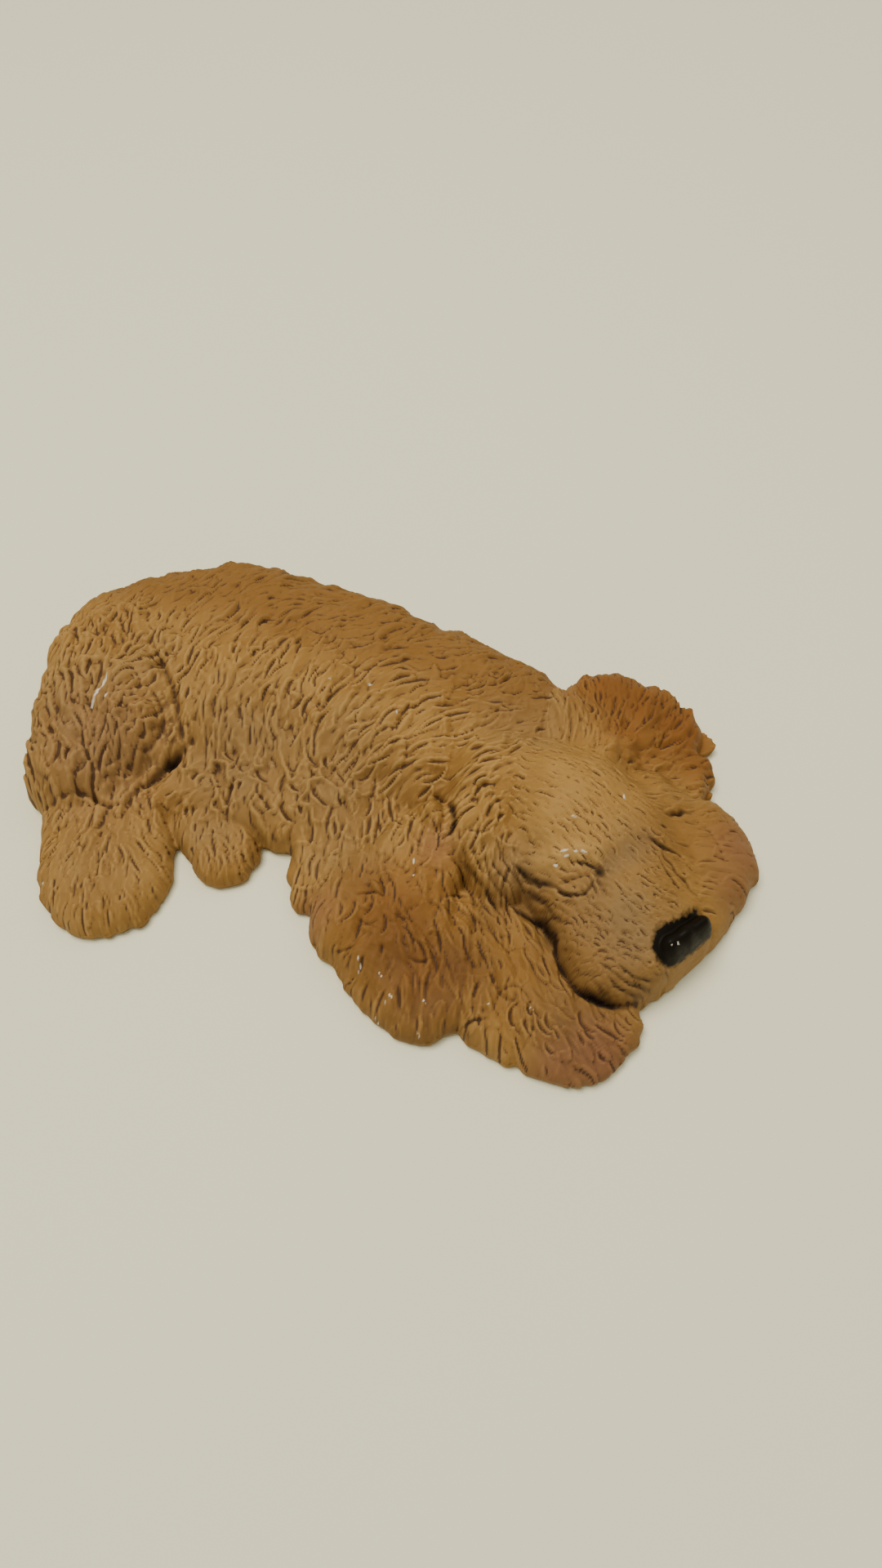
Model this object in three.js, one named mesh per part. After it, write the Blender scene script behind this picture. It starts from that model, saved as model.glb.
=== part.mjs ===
// Sleeping spaniel puppy, cast in resin as one piece with a flat back: a relief that lies on its back face.
// Millimetres, +Z up. X runs from the rump to the far forepaw, Y from the paws to the spine, and the origin
// is the middle of the back face's box. The surface is a height over the plan: rounded forms for the body,
// legs, ears and head, joined softly, with creases pressed in and tufts of fur laid over them.
import * as THREE from 'three';

// Driving dimensions
const LENGTH = 95; // over all, rump to far forepaw
const DEPTH = 14; // crown of the head above the edge wall
const EDGE = 1.5; // height of the upright wall round the outline
const TUFT = 0.8; // mean height of a tuft on the body
const CREASE = 2; // depth of the deepest crease

// The plan is in shares of LENGTH. Rises are shares of DEPTH, lifts of TUFT and crease depths of CREASE.
const STEP = 1 / 91; // spacing of the surface's points
const ROUNDNESS = 2.4; // 2 is an ellipse, more is flatter on top
const DISC_JOIN = 0.1; // softness where two discs of a form meet
const REACH = 0.006; // how far a tuft may stand out past the outline
const TUFTS_PER_AREA = 1.9; // tufts for each patch as long and as wide as one tuft

// Each form is a row of discs with a skin stretched over them: [u, v, radius, rise, comb]. Comb is the way
// the hair lies, in degrees from +X, and fan turns it towards the form's sides. Blend is the softness of the
// join to the forms before it, and roundness is ROUNDNESS if none is given. Tuft is [length, half width,
// lift, scatter in degrees].
const FORMS = [
  { name: 'torso', blend: 0.14, fan: -25, tuft: [0.062, 0.016, 1.0, 20], discs: [
    [-0.322, 0.217, 0.188, 0.68, 250], [-0.225, 0.233, 0.182, 0.73, 235], [-0.070, 0.190, 0.166, 0.74, 215],
    [0.045, 0.143, 0.154, 0.74, 195], [0.142, 0.108, 0.137, 0.71, 182]] },
  { name: 'belly', blend: 0.14, fan: 10, tuft: [0.050, 0.017, 1.2, 50], discs: [
    [-0.290, 0.070, 0.085, 0.34, 260], [-0.170, 0.052, 0.088, 0.40, 265],
    [-0.080, 0.040, 0.095, 0.44, 265]] },
  { name: 'chest', blend: 0.10, fan: 10, tuft: [0.060, 0.016, 0.8, 25], discs: [
    [-0.045, 0.000, 0.095, 0.42, 265], [-0.048, -0.065, 0.093, 0.31, 265]] },
  { name: 'near hind foot', blend: 0.03, fan: 0, roundness: 3.4, tuft: [0.050, 0.012, 0.5, 8], discs: [
    [-0.258, 0.010, 0.048, 0.25, 270], [-0.225, -0.046, 0.047, 0.22, 280]] },
  { name: 'hind paw', blend: 0.03, fan: 35, roundness: 3.4, tuft: [0.055, 0.014, 0.5, 8], discs: [
    [-0.386, 0.004, 0.092, 0.35, 262], [-0.382, -0.079, 0.087, 0.29, 268]] },
  { name: 'haunch', blend: 0.14, fan: -15, tuft: [0.055, 0.016, 1.0, 20], discs: [
    [-0.368, 0.215, 0.112, 0.80, 250], [-0.393, 0.130, 0.106, 0.88, 262],
    [-0.418, 0.074, 0.088, 0.76, 265]] },
  { name: 'far ear', blend: 0.18, fan: 45, roundness: 3.0, tuft: [0.055, 0.012, 0.8, 8], discs: [
    [0.262, 0.100, 0.092, 0.73, 75], [0.302, 0.132, 0.091, 0.48, 60], [0.345, 0.118, 0.090, 0.36, 35],
    [0.382, 0.062, 0.062, 0.32, 0]] },
  { name: 'far forepaw', blend: 0.15, fan: 40, roundness: 2.2, tuft: [0.060, 0.013, 0.5, 6], discs: [
    [0.342, -0.056, 0.115, 0.72, 5], [0.394, -0.067, 0.090, 0.54, 0], [0.366, -0.127, 0.079, 0.58, -30]] },
  { name: 'near foreleg', blend: 0.03, fan: 15, roundness: 3.0, tuft: [0.075, 0.014, 0.7, 12], discs: [
    [0.130, -0.180, 0.085, 0.27, 280], [0.168, -0.249, 0.089, 0.26, 290],
    [0.233, -0.275, 0.083, 0.23, 305]] },
  { name: 'near ear', blend: 0.04, fan: 25, roundness: 3.0, tuft: [0.080, 0.014, 0.7, 12], discs: [
    [0.058, -0.052, 0.060, 0.56, 245], [-0.003, -0.137, 0.103, 0.41, 258],
    [0.042, -0.212, 0.092, 0.29, 275]] },
  { name: 'neck', blend: 0.20, fan: 0, tuft: [0.050, 0.013, 0.8, 15], discs: [
    [0.150, 0.020, 0.085, 0.88, 195], [0.120, -0.040, 0.060, 0.74, 225], [0.152, -0.096, 0.048, 0.58, 255]] },
  { name: 'head', blend: 0.26, fan: 20, roundness: 2.2, discs: [
    [0.205, 0.000, 0.090, 0.97, 150], [0.235, -0.024, 0.104, 1.00, 145], [0.276, -0.066, 0.104, 0.91, 140],
    [0.300, -0.115, 0.100, 0.83, 145], [0.312, -0.156, 0.091, 0.75, 150],
    [0.333, -0.189, 0.055, 0.68, 150]] },
  { name: 'cheek', blend: 0.12, fan: 0, discs: [
    [0.222, -0.085, 0.074, 0.76, 150], [0.245, -0.135, 0.060, 0.72, 150]] },
  { name: 'lips', blend: 0.12, fan: 0, roundness: 4.0, discs: [
    [0.262, -0.178, 0.058, 0.66, 150], [0.285, -0.206, 0.067, 0.62, 160], [0.318, -0.214, 0.043, 0.60, 170],
    [0.350, -0.196, 0.036, 0.56, 180]] },
  { name: 'curl of the near ear', blend: 0.02, fan: 0, roundness: 2.0, discs: [
    [0.054, -0.026, 0.027, 0.70, 245], [0.061, -0.040, 0.025, 0.68, 260]] },
  { name: 'nose', blend: 0.015, fan: 0, roundness: 2.0, discs: [
    [0.347, -0.213, 0.027, 0.73, 0], [0.367, -0.200, 0.024, 0.70, 0], [0.388, -0.184, 0.021, 0.66, 0]] },
];

// Creases pressed into the forms, and ridges raised on them, with a depth below 0. Each has a width, a depth
// and the points that its line passes through.
const CREASES = [
  { name: 'haunch edge', width: 0.009, depth: 0.5, line: [
    [-0.318, 0.196], [-0.308, 0.179], [-0.294, 0.146], [-0.284, 0.104], [-0.281, 0.082]] },
  { name: 'haunch shadow', width: 0.010, depth: 1, line: [
    [-0.270, 0.086], [-0.284, 0.074], [-0.309, 0.051], [-0.333, 0.031]] },
  { name: 'haunch low edge', width: 0.008, depth: 0.5, line: [
    [-0.344, 0.008], [-0.355, -0.002], [-0.378, -0.003], [-0.403, 0.009], [-0.433, 0.004], [-0.469, 0.003]] },
  { name: 'jaw', width: 0.007, depth: 0.7, line: [
    [0.153, -0.138], [0.179, -0.156], [0.199, -0.169], [0.213, -0.204], [0.235, -0.249], [0.256, -0.266],
    [0.281, -0.272], [0.313, -0.266]] },
  { name: 'closed lid', width: 0.006, depth: 0.3, line: [
    [0.163, -0.104], [0.182, -0.119], [0.196, -0.129], [0.211, -0.135], [0.222, -0.136], [0.236, -0.133],
    [0.250, -0.128], [0.263, -0.125]] },
  { name: 'lower lid', width: 0.006, depth: 0.25, line: [
    [0.213, -0.136], [0.220, -0.145], [0.239, -0.153], [0.256, -0.143], [0.262, -0.133]] },
  { name: 'curl', width: 0.007, depth: 0.5, line: [
    [0.058, 0.004], [0.070, -0.002], [0.080, -0.018], [0.086, -0.036], [0.084, -0.052], [0.074, -0.062]] },
  { name: 'ear edge', width: 0.008, depth: 0.3, line: [
    [0.089, -0.062], [0.101, -0.094], [0.110, -0.139], [0.104, -0.196], [0.090, -0.276], [0.088, -0.297]] },
  { name: 'stop', width: 0.016, depth: 0.35, line: [[0.262, -0.124], [0.298, -0.105], [0.334, -0.084]] },
  { name: 'far brow edge', width: 0.006, depth: 0.25, line: [
    [0.326, -0.080], [0.353, -0.093], [0.371, -0.096]] },
  { name: 'far lid', width: 0.006, depth: 0.25, line: [
    [0.345, -0.099], [0.368, -0.125], [0.393, -0.146]] },
  { name: 'brow', width: 0.015, depth: -0.5, line: [[0.180, -0.104], [0.220, -0.104], [0.262, -0.104]] },
  { name: 'eyelid', width: 0.011, depth: -0.4, line: [[0.227, -0.144], [0.239, -0.144], [0.250, -0.139]] },
];

const clamp = (x, low, high) => Math.min(high, Math.max(low, x));
const mix = (a, b, t) => a + (b - a) * t;
const radians = THREE.MathUtils.degToRad;

// The larger of a and b, rounded off where they are nearly alike
function softMax(a, b, softness) {
  const t = clamp(0.5 + (0.5 * (b - a)) / softness, 0, 1);
  return mix(a, b, t) + softness * t * (1 - t);
}

// One form at a point: how far inside its outline, its rise there, and the way the hair lies
function formAt(form, u, v) {
  let inside = -Infinity;
  let rise = 0;
  let comb = 0;
  for (let i = 1; i < form.discs.length; i++) {
    const [u0, v0, r0, rise0, comb0] = form.discs[i - 1];
    const [u1, v1, r1, rise1, comb1] = form.discs[i];
    const du = u1 - u0;
    const dv = v1 - v0;
    const along = clamp(((u - u0) * du + (v - v0) * dv) / (du * du + dv * dv), 0, 1);
    const radius = mix(r0, r1, along);
    const out = Math.hypot(u - u0 - du * along, v - v0 - dv * along) / radius;
    if (radius * (1 - out) > inside) {
      inside = radius * (1 - out);
      const side = (du * (v - v0) - dv * (u - u0)) / Math.hypot(du, dv) / radius;
      comb = mix(comb0, comb1, along) + form.fan * clamp(side, -1, 1);
    }
    const roundness = form.roundness ?? ROUNDNESS;
    const dome = mix(rise0, rise1, along) * Math.sqrt(Math.max(0, 1 - out ** roundness));
    rise = softMax(rise, dome, DISC_JOIN);
  }
  return { inside, rise: inside > 0 ? rise : 0, comb };
}

// All forms at a point, with the topmost one as owner
function formsAt(u, v) {
  const found = { inside: -Infinity, rise: 0, comb: 0, owner: null };
  let highest = 0;
  for (const form of FORMS) {
    const { inside, rise, comb } = formAt(form, u, v);
    found.inside = Math.max(found.inside, inside);
    if (inside <= 0) continue;
    if (rise > highest) {
      highest = rise;
      found.comb = comb;
      found.owner = form;
    }
    found.rise = softMax(found.rise, rise, form.blend);
  }
  return found;
}

// Depth of all creases less the height of all ridges at a point, each fading out towards its ends
const CREASE_SAMPLES = 40;
const creaseLines = CREASES.map(({ line }) => {
  const curve = new THREE.CatmullRomCurve3(line.map(([u, v]) => new THREE.Vector3(u, v, 0)));
  return curve.getPoints(CREASE_SAMPLES);
});

function creaseAt(u, v) {
  let deepest = 0;
  let highest = 0;
  CREASES.forEach(({ width, depth }, i) => {
    creaseLines[i].forEach((point, k) => {
      const distance = Math.hypot(u - point.x, v - point.y);
      const fade = Math.sin((Math.PI * k) / CREASE_SAMPLES);
      const here = depth * fade * Math.exp(-((distance / width) ** 2));
      deepest = Math.max(deepest, here);
      highest = Math.max(highest, -here);
    });
  });
  return deepest - highest;
}

// Even scatter in 0..1, and a repeatable chance in 0..1
function halton(index, base) {
  let share = 1;
  let sum = 0;
  for (let i = index; i > 0; i = Math.floor(i / base)) {
    share /= base;
    sum += share * (i % base);
  }
  return sum;
}

const UNEVEN = [12.9898, 78.233, 43758.5]; // any uneven numbers scatter well

function chance(index, key) {
  const x = Math.sin(index * UNEVEN[0] + key * UNEVEN[1]) * UNEVEN[2];
  return x - Math.floor(x);
}

// The tufts of one form, rooted wherever it is the topmost form
const LENGTHS = [0.75, 1.25]; // shortest and longest, in shares of the form's own
const HALF_WIDTHS = [0.8, 1.2];
const LIFTS = [0.7, 1.3];
const BEND = 0.15; // sideways at the tip, in shares of the tuft's length

function tuftsOf(form, key) {
  const [length, halfWidth, lift, scatter] = form.tuft;
  const low = [0, 1].map((k) => Math.min(...form.discs.map((disc) => disc[k] - disc[2])));
  const high = [0, 1].map((k) => Math.max(...form.discs.map((disc) => disc[k] + disc[2])));
  const area = (high[0] - low[0]) * (high[1] - low[1]);
  const count = Math.floor((TUFTS_PER_AREA * area) / (length * 2 * halfWidth));
  const tufts = [];
  for (let i = 1; i <= count; i++) {
    const u = mix(low[0], high[0], halton(i, 2));
    const v = mix(low[1], high[1], halton(i, 3));
    const { comb, owner } = formsAt(u, v);
    if (owner !== form) continue;
    tufts.push({
      u,
      v,
      angle: radians(comb + scatter * (2 * chance(i, key) - 1)),
      length: length * mix(...LENGTHS, chance(i, key + 1)),
      halfWidth: halfWidth * mix(...HALF_WIDTHS, chance(i, key + 2)),
      lift: lift * mix(...LIFTS, chance(i, key + 3)),
      bend: BEND * (2 * chance(i, key + 4) - 1),
    });
  }
  return tufts;
}

const TUFT_KEYS = 10; // chances kept for each form
const tufts = FORMS.flatMap((form, i) => (form.tuft ? tuftsOf(form, i * TUFT_KEYS) : []));

// The highest tuft over a point, a ridge that rises from its root and ends in a pointed tip
const WIDEST = 0.42; // share of a tuft's length where it is widest
const ROOT = 0.3; // share of its lift that a tuft has at its root
const RIDGE = 0.6; // less is flatter across the tuft

function tuftAt(u, v) {
  let lift = 0;
  let inside = -Infinity;
  for (const tuft of tufts) {
    const du = u - tuft.u;
    const dv = v - tuft.v;
    if (Math.hypot(du, dv) > tuft.length) continue;
    const along = (du * Math.cos(tuft.angle) + dv * Math.sin(tuft.angle)) / tuft.length;
    const taper = Math.max(0, 1 - ((along - WIDEST) / (1 - WIDEST)) ** 2);
    const half = tuft.halfWidth * Math.sqrt(taper);
    const across = dv * Math.cos(tuft.angle) - du * Math.sin(tuft.angle);
    const off = Math.abs(across - tuft.bend * tuft.length * along * along);
    if (off >= half) continue;
    const ridge = (1 - (off / half) ** 2) ** RIDGE;
    lift = Math.max(lift, tuft.lift * ridge * mix(ROOT, 1, clamp(along, 0, 1)));
    inside = Math.max(inside, half - off);
  }
  return { lift, inside };
}

// The whole relief at a point: how far inside the outline, in shares of LENGTH, and the height in
// millimetres. A crease is shallower where the form under it is low.
const CREASED_RISE = 1 / 3; // from here up a crease has its full depth

function reliefAt(u, v) {
  const forms = formsAt(u, v);
  const tuft = tuftAt(u, v);
  const inside = Math.max(forms.inside, Math.min(tuft.inside, forms.inside + REACH));
  const crease = CREASE * creaseAt(u, v) * Math.min(1, forms.rise / CREASED_RISE);
  const bare = Math.max(0, DEPTH * forms.rise - crease);
  return { inside, height: EDGE + bare + TUFT * tuft.lift };
}

// The relief sampled on a square grid that covers all the forms
const discs = FORMS.flatMap((form) => form.discs);
const LOW_U = Math.min(...discs.map(([u, , r]) => u - r)) - 2 * REACH;
const LOW_V = Math.min(...discs.map(([, v, r]) => v - r)) - 2 * REACH;
const COLUMNS = Math.ceil((Math.max(...discs.map(([u, , r]) => u + r)) + 2 * REACH - LOW_U) / STEP);
const ROWS = Math.ceil((Math.max(...discs.map(([, v, r]) => v + r)) + 2 * REACH - LOW_V) / STEP);
const pointAt = (column, row) => column + row * (COLUMNS + 1);
const samples = [];
for (let row = 0; row <= ROWS; row++) {
  for (let column = 0; column <= COLUMNS; column++) {
    samples.push(reliefAt(LOW_U + column * STEP, LOW_V + row * STEP));
  }
}

// Cells whose middle is inside the outline. Two that touch only at a corner get a third one to join them.
const CORNERS = [[0, 0], [1, 0], [1, 1], [0, 1]];
const filled = [];
for (let row = 0; row < ROWS; row++) {
  for (let column = 0; column < COLUMNS; column++) {
    const corners = CORNERS.map(([c, r]) => samples[pointAt(column + c, row + r)]);
    filled[column + row * COLUMNS] = corners.reduce((sum, corner) => sum + corner.inside, 0) > 0;
  }
}
for (let row = 1; row < ROWS; row++) {
  for (let column = 1; column < COLUMNS; column++) {
    const here = column + row * COLUMNS;
    const below = here - COLUMNS;
    if (filled[here] && filled[below - 1] && !filled[here - 1] && !filled[below]) filled[here - 1] = true;
    if (filled[here - 1] && filled[below] && !filled[here] && !filled[below - 1]) filled[here] = true;
  }
}

// The outline: from each point on it to the next, with the filled cells on the left
const next = new Map();
function edge(column, row, toColumn, toRow) {
  next.set(pointAt(column, row), pointAt(toColumn, toRow));
}
const isFilled = (column, row) =>
  column >= 0 && row >= 0 && column < COLUMNS && row < ROWS && filled[column + row * COLUMNS];
for (let row = 0; row < ROWS; row++) {
  for (let column = 0; column < COLUMNS; column++) {
    if (!isFilled(column, row)) continue;
    if (!isFilled(column, row - 1)) edge(column, row, column + 1, row);
    if (!isFilled(column + 1, row)) edge(column + 1, row, column + 1, row + 1);
    if (!isFilled(column, row + 1)) edge(column + 1, row + 1, column, row + 1);
    if (!isFilled(column - 1, row)) edge(column, row + 1, column, row);
  }
}
const outline = [next.keys().next().value];
while (next.get(outline.at(-1)) !== outline[0]) outline.push(next.get(outline.at(-1)));

// Surface points in plan. Those on the outline are moved from the grid to where the relief really ends.
const plan = [];
for (let row = 0; row <= ROWS; row++) {
  for (let column = 0; column <= COLUMNS; column++) {
    plan.push([LOW_U + column * STEP, LOW_V + row * STEP]);
  }
}
const NUDGES = 3; // rounds of moving a point to the outline
const FARTHEST = 0.45 * STEP; // that a point may move each way
const PROBE = STEP / 4;
const LEAST_SLOPE = 0.5; // of the distance inside, whose true slope is about 1
for (const point of outline) {
  const [startU, startV] = plan[point];
  for (let i = 0; i < NUDGES; i++) {
    const [u, v] = plan[point];
    const { inside } = reliefAt(u, v);
    const [right, left] = [u + PROBE, u - PROBE].map((probe) => reliefAt(probe, v).inside);
    const [up, down] = [v + PROBE, v - PROBE].map((probe) => reliefAt(u, probe).inside);
    const slopeU = (right - left) / (2 * PROBE);
    const slopeV = (up - down) / (2 * PROBE);
    const steepness = Math.max(slopeU ** 2 + slopeV ** 2, LEAST_SLOPE ** 2);
    plan[point] = [
      clamp(u - (inside * slopeU) / steepness, startU - FARTHEST, startU + FARTHEST),
      clamp(v - (inside * slopeV) / steepness, startV - FARTHEST, startV + FARTHEST),
    ];
  }
}
const nudged = outline.map((point) => plan[point]);
outline.forEach((point, i) => {
  const before = nudged.at(i - 1);
  const after = nudged[(i + 1) % nudged.length];
  plan[point] = [0, 1].map((k) => (before[k] + 2 * nudged[i][k] + after[k]) / 4);
  samples[point] = { inside: 0, height: EDGE + TUFT * tuftAt(...plan[point]).lift };
});

// One closed body: the relief on top, an upright wall round the outline and the flat back
function dogGeometry() {
  const vertices = [];
  const faces = [];
  const topOf = new Map();
  const top = (point) => {
    if (!topOf.has(point)) {
      topOf.set(point, vertices.length / 3);
      vertices.push(LENGTH * plan[point][0], LENGTH * plan[point][1], samples[point].height);
    }
    return topOf.get(point);
  };
  const apart = (a, b) =>
    Math.hypot(...[0, 1, 2].map((k) => vertices[3 * a + k] - vertices[3 * b + k]));
  for (let row = 0; row < ROWS; row++) {
    for (let column = 0; column < COLUMNS; column++) {
      if (!isFilled(column, row)) continue;
      const [a, b, c, d] = CORNERS.map(([i, j]) => top(pointAt(column + i, row + j)));
      if (apart(a, c) < apart(b, d)) faces.push(a, b, c, a, c, d);
      else faces.push(a, b, d, b, c, d);
    }
  }
  const rim = outline.map((point) => topOf.get(point));
  const foot = rim.map((i) => {
    vertices.push(vertices[3 * i], vertices[3 * i + 1], 0);
    return vertices.length / 3 - 1;
  });
  rim.forEach((upper, i) => {
    const j = (i + 1) % rim.length;
    faces.push(foot[i], foot[j], rim[j], foot[i], rim[j], upper);
  });
  const backOutline = foot.map((i) => new THREE.Vector2(vertices[3 * i], vertices[3 * i + 1]));
  for (const [a, b, c] of THREE.ShapeUtils.triangulateShape(backOutline, [])) {
    faces.push(foot[a], foot[c], foot[b]);
  }
  const geometry = new THREE.BufferGeometry();
  geometry.setAttribute('position', new THREE.Float32BufferAttribute(vertices, 3));
  geometry.setIndex(faces);
  geometry.computeBoundingBox();
  const middle = geometry.boundingBox.getCenter(new THREE.Vector3());
  geometry.translate(-middle.x, -middle.y, 0);
  return geometry;
}

// Painted resin, a warm ochre tan
const paintedResin = new THREE.MeshStandardMaterial({ color: 0xb07f45, roughness: 0.75, metalness: 0 });

const dog = new THREE.Mesh(dogGeometry(), paintedResin);
dog.name = 'dog';

const figurine = new THREE.Group();
figurine.name = 'sleeping_dog_figurine';
figurine.add(dog);

export default figurine;
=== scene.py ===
import math

import bpy
import numpy as np
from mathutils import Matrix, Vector
from mathutils.geometry import tessellate_polygon


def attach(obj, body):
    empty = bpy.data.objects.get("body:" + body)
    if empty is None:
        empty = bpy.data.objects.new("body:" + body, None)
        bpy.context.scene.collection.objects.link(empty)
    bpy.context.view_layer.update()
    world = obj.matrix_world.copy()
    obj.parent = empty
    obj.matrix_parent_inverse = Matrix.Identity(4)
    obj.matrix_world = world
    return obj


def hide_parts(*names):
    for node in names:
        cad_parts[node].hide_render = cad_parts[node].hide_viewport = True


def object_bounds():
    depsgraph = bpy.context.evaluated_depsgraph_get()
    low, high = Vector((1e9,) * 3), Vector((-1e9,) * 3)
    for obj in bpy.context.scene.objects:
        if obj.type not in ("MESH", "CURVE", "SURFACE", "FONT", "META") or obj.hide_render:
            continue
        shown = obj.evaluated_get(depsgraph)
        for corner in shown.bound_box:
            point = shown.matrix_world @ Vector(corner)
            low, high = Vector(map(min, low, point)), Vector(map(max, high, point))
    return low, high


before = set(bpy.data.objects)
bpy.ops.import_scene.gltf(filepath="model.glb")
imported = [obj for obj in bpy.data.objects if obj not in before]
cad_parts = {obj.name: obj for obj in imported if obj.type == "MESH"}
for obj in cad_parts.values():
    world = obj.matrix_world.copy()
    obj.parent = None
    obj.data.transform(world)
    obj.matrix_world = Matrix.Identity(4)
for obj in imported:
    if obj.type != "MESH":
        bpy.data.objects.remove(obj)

# Sleeping spaniel puppy in painted resin, a relief that lies on its flat back. The frame's node has the same
# forms with coarse tufts. This script lays them out again on a finer grid, adds the fur's locks, strands and
# cuts and the creases and ridges of the face and feet, and paints them.
# Everything in plan is in shares of the puppy's length, and in the tables in thousandths of it: u runs to the
# far forepaw, v towards the spine.
cad_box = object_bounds()
LOW, HIGH = Vector(cad_box[0]), Vector(cad_box[1])
LENGTH = (HIGH.x - LOW.x) / 1.003916  # the outline is a little longer than the plan's unit
MIDDLE = (-0.012388, 0.025698)  # the middle of the box in plan
LENGTH_MM = 95
MM = 1 / LENGTH_MM  # a millimetre as a share of the length
DEPTH = 14 / LENGTH_MM  # crown of the head above the wall
EDGE = 1.5 / LENGTH_MM  # height of the wall round the outline
ROUNDNESS = 2.4  # 2 is an ellipse, more is flatter on top
DISC_JOIN = 0.1  # softness where two discs of a form meet
RAGGED_SCALE = 4.5 * MM  # size of the bays in a form's edge
FLUTED_SCALE = 1.5 * MM  # size of the scallops in it
FLUTED = 0.45  # depth of the scallops in mm where a form gives none
REACH = 0.2 * MM  # how far a lock may stand out past the outline
TIP_REACH = 2.2 * MM  # how far a tuft in TIPS may
FAR = 1e9  # farther than anything in the plan

# Each form is a row of discs under one skin: [u, v, radius, rise, comb]. Comb is the way the hair lies, in
# degrees from u, and fan turns it towards the form's sides. Blend is the softness of the join to the forms
# before it. Ragged is how far the form's edge wanders and fluted how deep its scallops are, in mm. Round is
# the form's own ROUNDNESS.
FORMS = {
    "torso": dict(blend=0.14, fan=-25, ragged=0.4, discs=[
        [-322, 217, 188, 0.68, 250], [-225, 233, 182, 0.73, 235], [-70, 190, 166, 0.74, 215],
        [45, 143, 154, 0.74, 195], [142, 108, 137, 0.71, 182]]),
    "belly": dict(blend=0.14, fan=10, ragged=0.8, discs=[
        [-290, 70, 85, 0.34, 260], [-170, 52, 88, 0.4, 265], [-80, 40, 95, 0.44, 265]]),
    "chest": dict(blend=0.1, fan=10, ragged=0.7, discs=[[-45, 0, 95, 0.42, 265], [-48, -65, 92, 0.31, 265]]),
    "near hind foot": dict(blend=0.03, fan=0, ragged=0.4, round=3.4, discs=[
        [-258, 10, 48, 0.25, 270], [-225, -46, 47, 0.22, 280]]),
    "hind paw": dict(blend=0.03, fan=35, ragged=0.4, round=3.4, discs=[
        [-386, 4, 92, 0.35, 262], [-382, -79, 87, 0.29, 268]]),
    "haunch": dict(blend=0.14, fan=-15, ragged=1.0, discs=[
        [-368, 215, 115, 0.8, 250], [-393, 130, 105, 0.88, 262], [-418, 74, 88, 0.76, 265]]),
    "far ear": dict(blend=0.18, fan=30, ragged=0.5, fluted=1.0, round=3.0, discs=[
        [262, 100, 92, 0.73, 88], [302, 132, 91, 0.48, 78], [345, 118, 90, 0.36, 52],
        [382, 62, 62, 0.32, 8]]),
    "far forepaw": dict(blend=0.15, fan=40, ragged=0.4, round=2.2, discs=[
        [342, -56, 115, 0.72, 5], [394, -66, 93, 0.54, 0], [366, -127, 79, 0.58, -30]]),
    "near foreleg": dict(blend=0.03, fan=15, ragged=0.7, round=3.0, discs=[
        [130, -180, 85, 0.27, 280], [168, -249, 89, 0.26, 290], [233, -275, 83, 0.23, 305]]),
    "near ear": dict(blend=0.04, fan=25, ragged=0.7, round=3.0, discs=[
        [58, -52, 60, 0.56, 245], [-3, -137, 103, 0.41, 258], [42, -212, 92, 0.29, 275]]),
    "neck": dict(blend=0.2, fan=0, ragged=0.5, discs=[
        [150, 20, 85, 0.88, 195], [120, -40, 60, 0.74, 225], [152, -96, 48, 0.58, 255]]),
    "head": dict(blend=0.26, fan=20, ragged=0, round=2.2, discs=[
        [205, 0, 90, 0.97, 150], [235, -24, 104, 1.0, 145], [276, -66, 104, 0.91, 140],
        [300, -115, 100, 0.83, 145], [312, -156, 91, 0.75, 150], [333, -189, 55, 0.68, 150]]),
    "cheek": dict(blend=0.12, fan=0, ragged=0, discs=[[222, -85, 74, 0.76, 150], [245, -135, 60, 0.72, 150]]),
    "lips": dict(blend=0.12, fan=0, ragged=0, round=4.0, discs=[
        [262, -178, 58, 0.66, 150], [285, -206, 67, 0.62, 160], [318, -214, 43, 0.6, 170],
        [350, -196, 36, 0.56, 180]]),
    "curl": dict(blend=0.02, fan=0, ragged=0, round=2.0, discs=[
        [54, -26, 27, 0.7, 245], [61, -40, 25, 0.68, 260]]),
    "nose": dict(blend=0.015, fan=0, ragged=0, round=2.0, discs=[
        [347, -213, 27, 0.73, 0], [367, -200, 24, 0.7, 0], [391, -183, 21, 0.69, 0]]),
}

# The black paint on the nose, as a form of its own.
NOSE_PAINT = dict(fan=0, ragged=0, discs=[
    [350, -213, 24.5, 1, 0], [370, -201, 23, 1, 0], [391, -184, 22.5, 1, 0]])

# Locks of hair on each form: length, half width and lift in mm, sway in degrees, the tightest curl in turns
# for each length, strands in a lock, and how many layers cover the form.
LOCKS = {
    "torso": (5.0, 0.85, 0.46, 40, 0.34, 2, 2.4), "belly": (3.8, 0.95, 0.55, 60, 0.45, 2, 2.0),
    "chest": (5.5, 0.9, 0.45, 26, 0.2, 2, 2.2), "near hind foot": (4.0, 0.6, 0.34, 22, 0.14, 1, 2.2),
    "hind paw": (4.0, 0.6, 0.3, 26, 0.2, 1, 2.2), "haunch": (5.0, 0.95, 0.62, 44, 0.36, 2, 2.4),
    "far ear": (5.0, 0.65, 0.42, 9, 0.06, 1, 2.2), "far forepaw": (5.0, 0.6, 0.22, 12, 0.08, 1, 2.0),
    "near foreleg": (6.0, 0.85, 0.4, 28, 0.26, 2, 2.4), "near ear": (6.5, 0.9, 0.4, 28, 0.26, 2, 2.4),
    "neck": (4.6, 0.8, 0.48, 30, 0.26, 2, 2.4), "head": (2.4, 0.38, 0.13, 12, 0.05, 1, 2.2),
    "cheek": (2.2, 0.38, 0.13, 14, 0.05, 1, 2.2), "lips": (1.8, 0.38, 0.12, 20, 0.1, 1, 2.2),
    "curl": (3.0, 0.6, 0.3, 20, 0.2, 1, 2.0),
}

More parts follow.
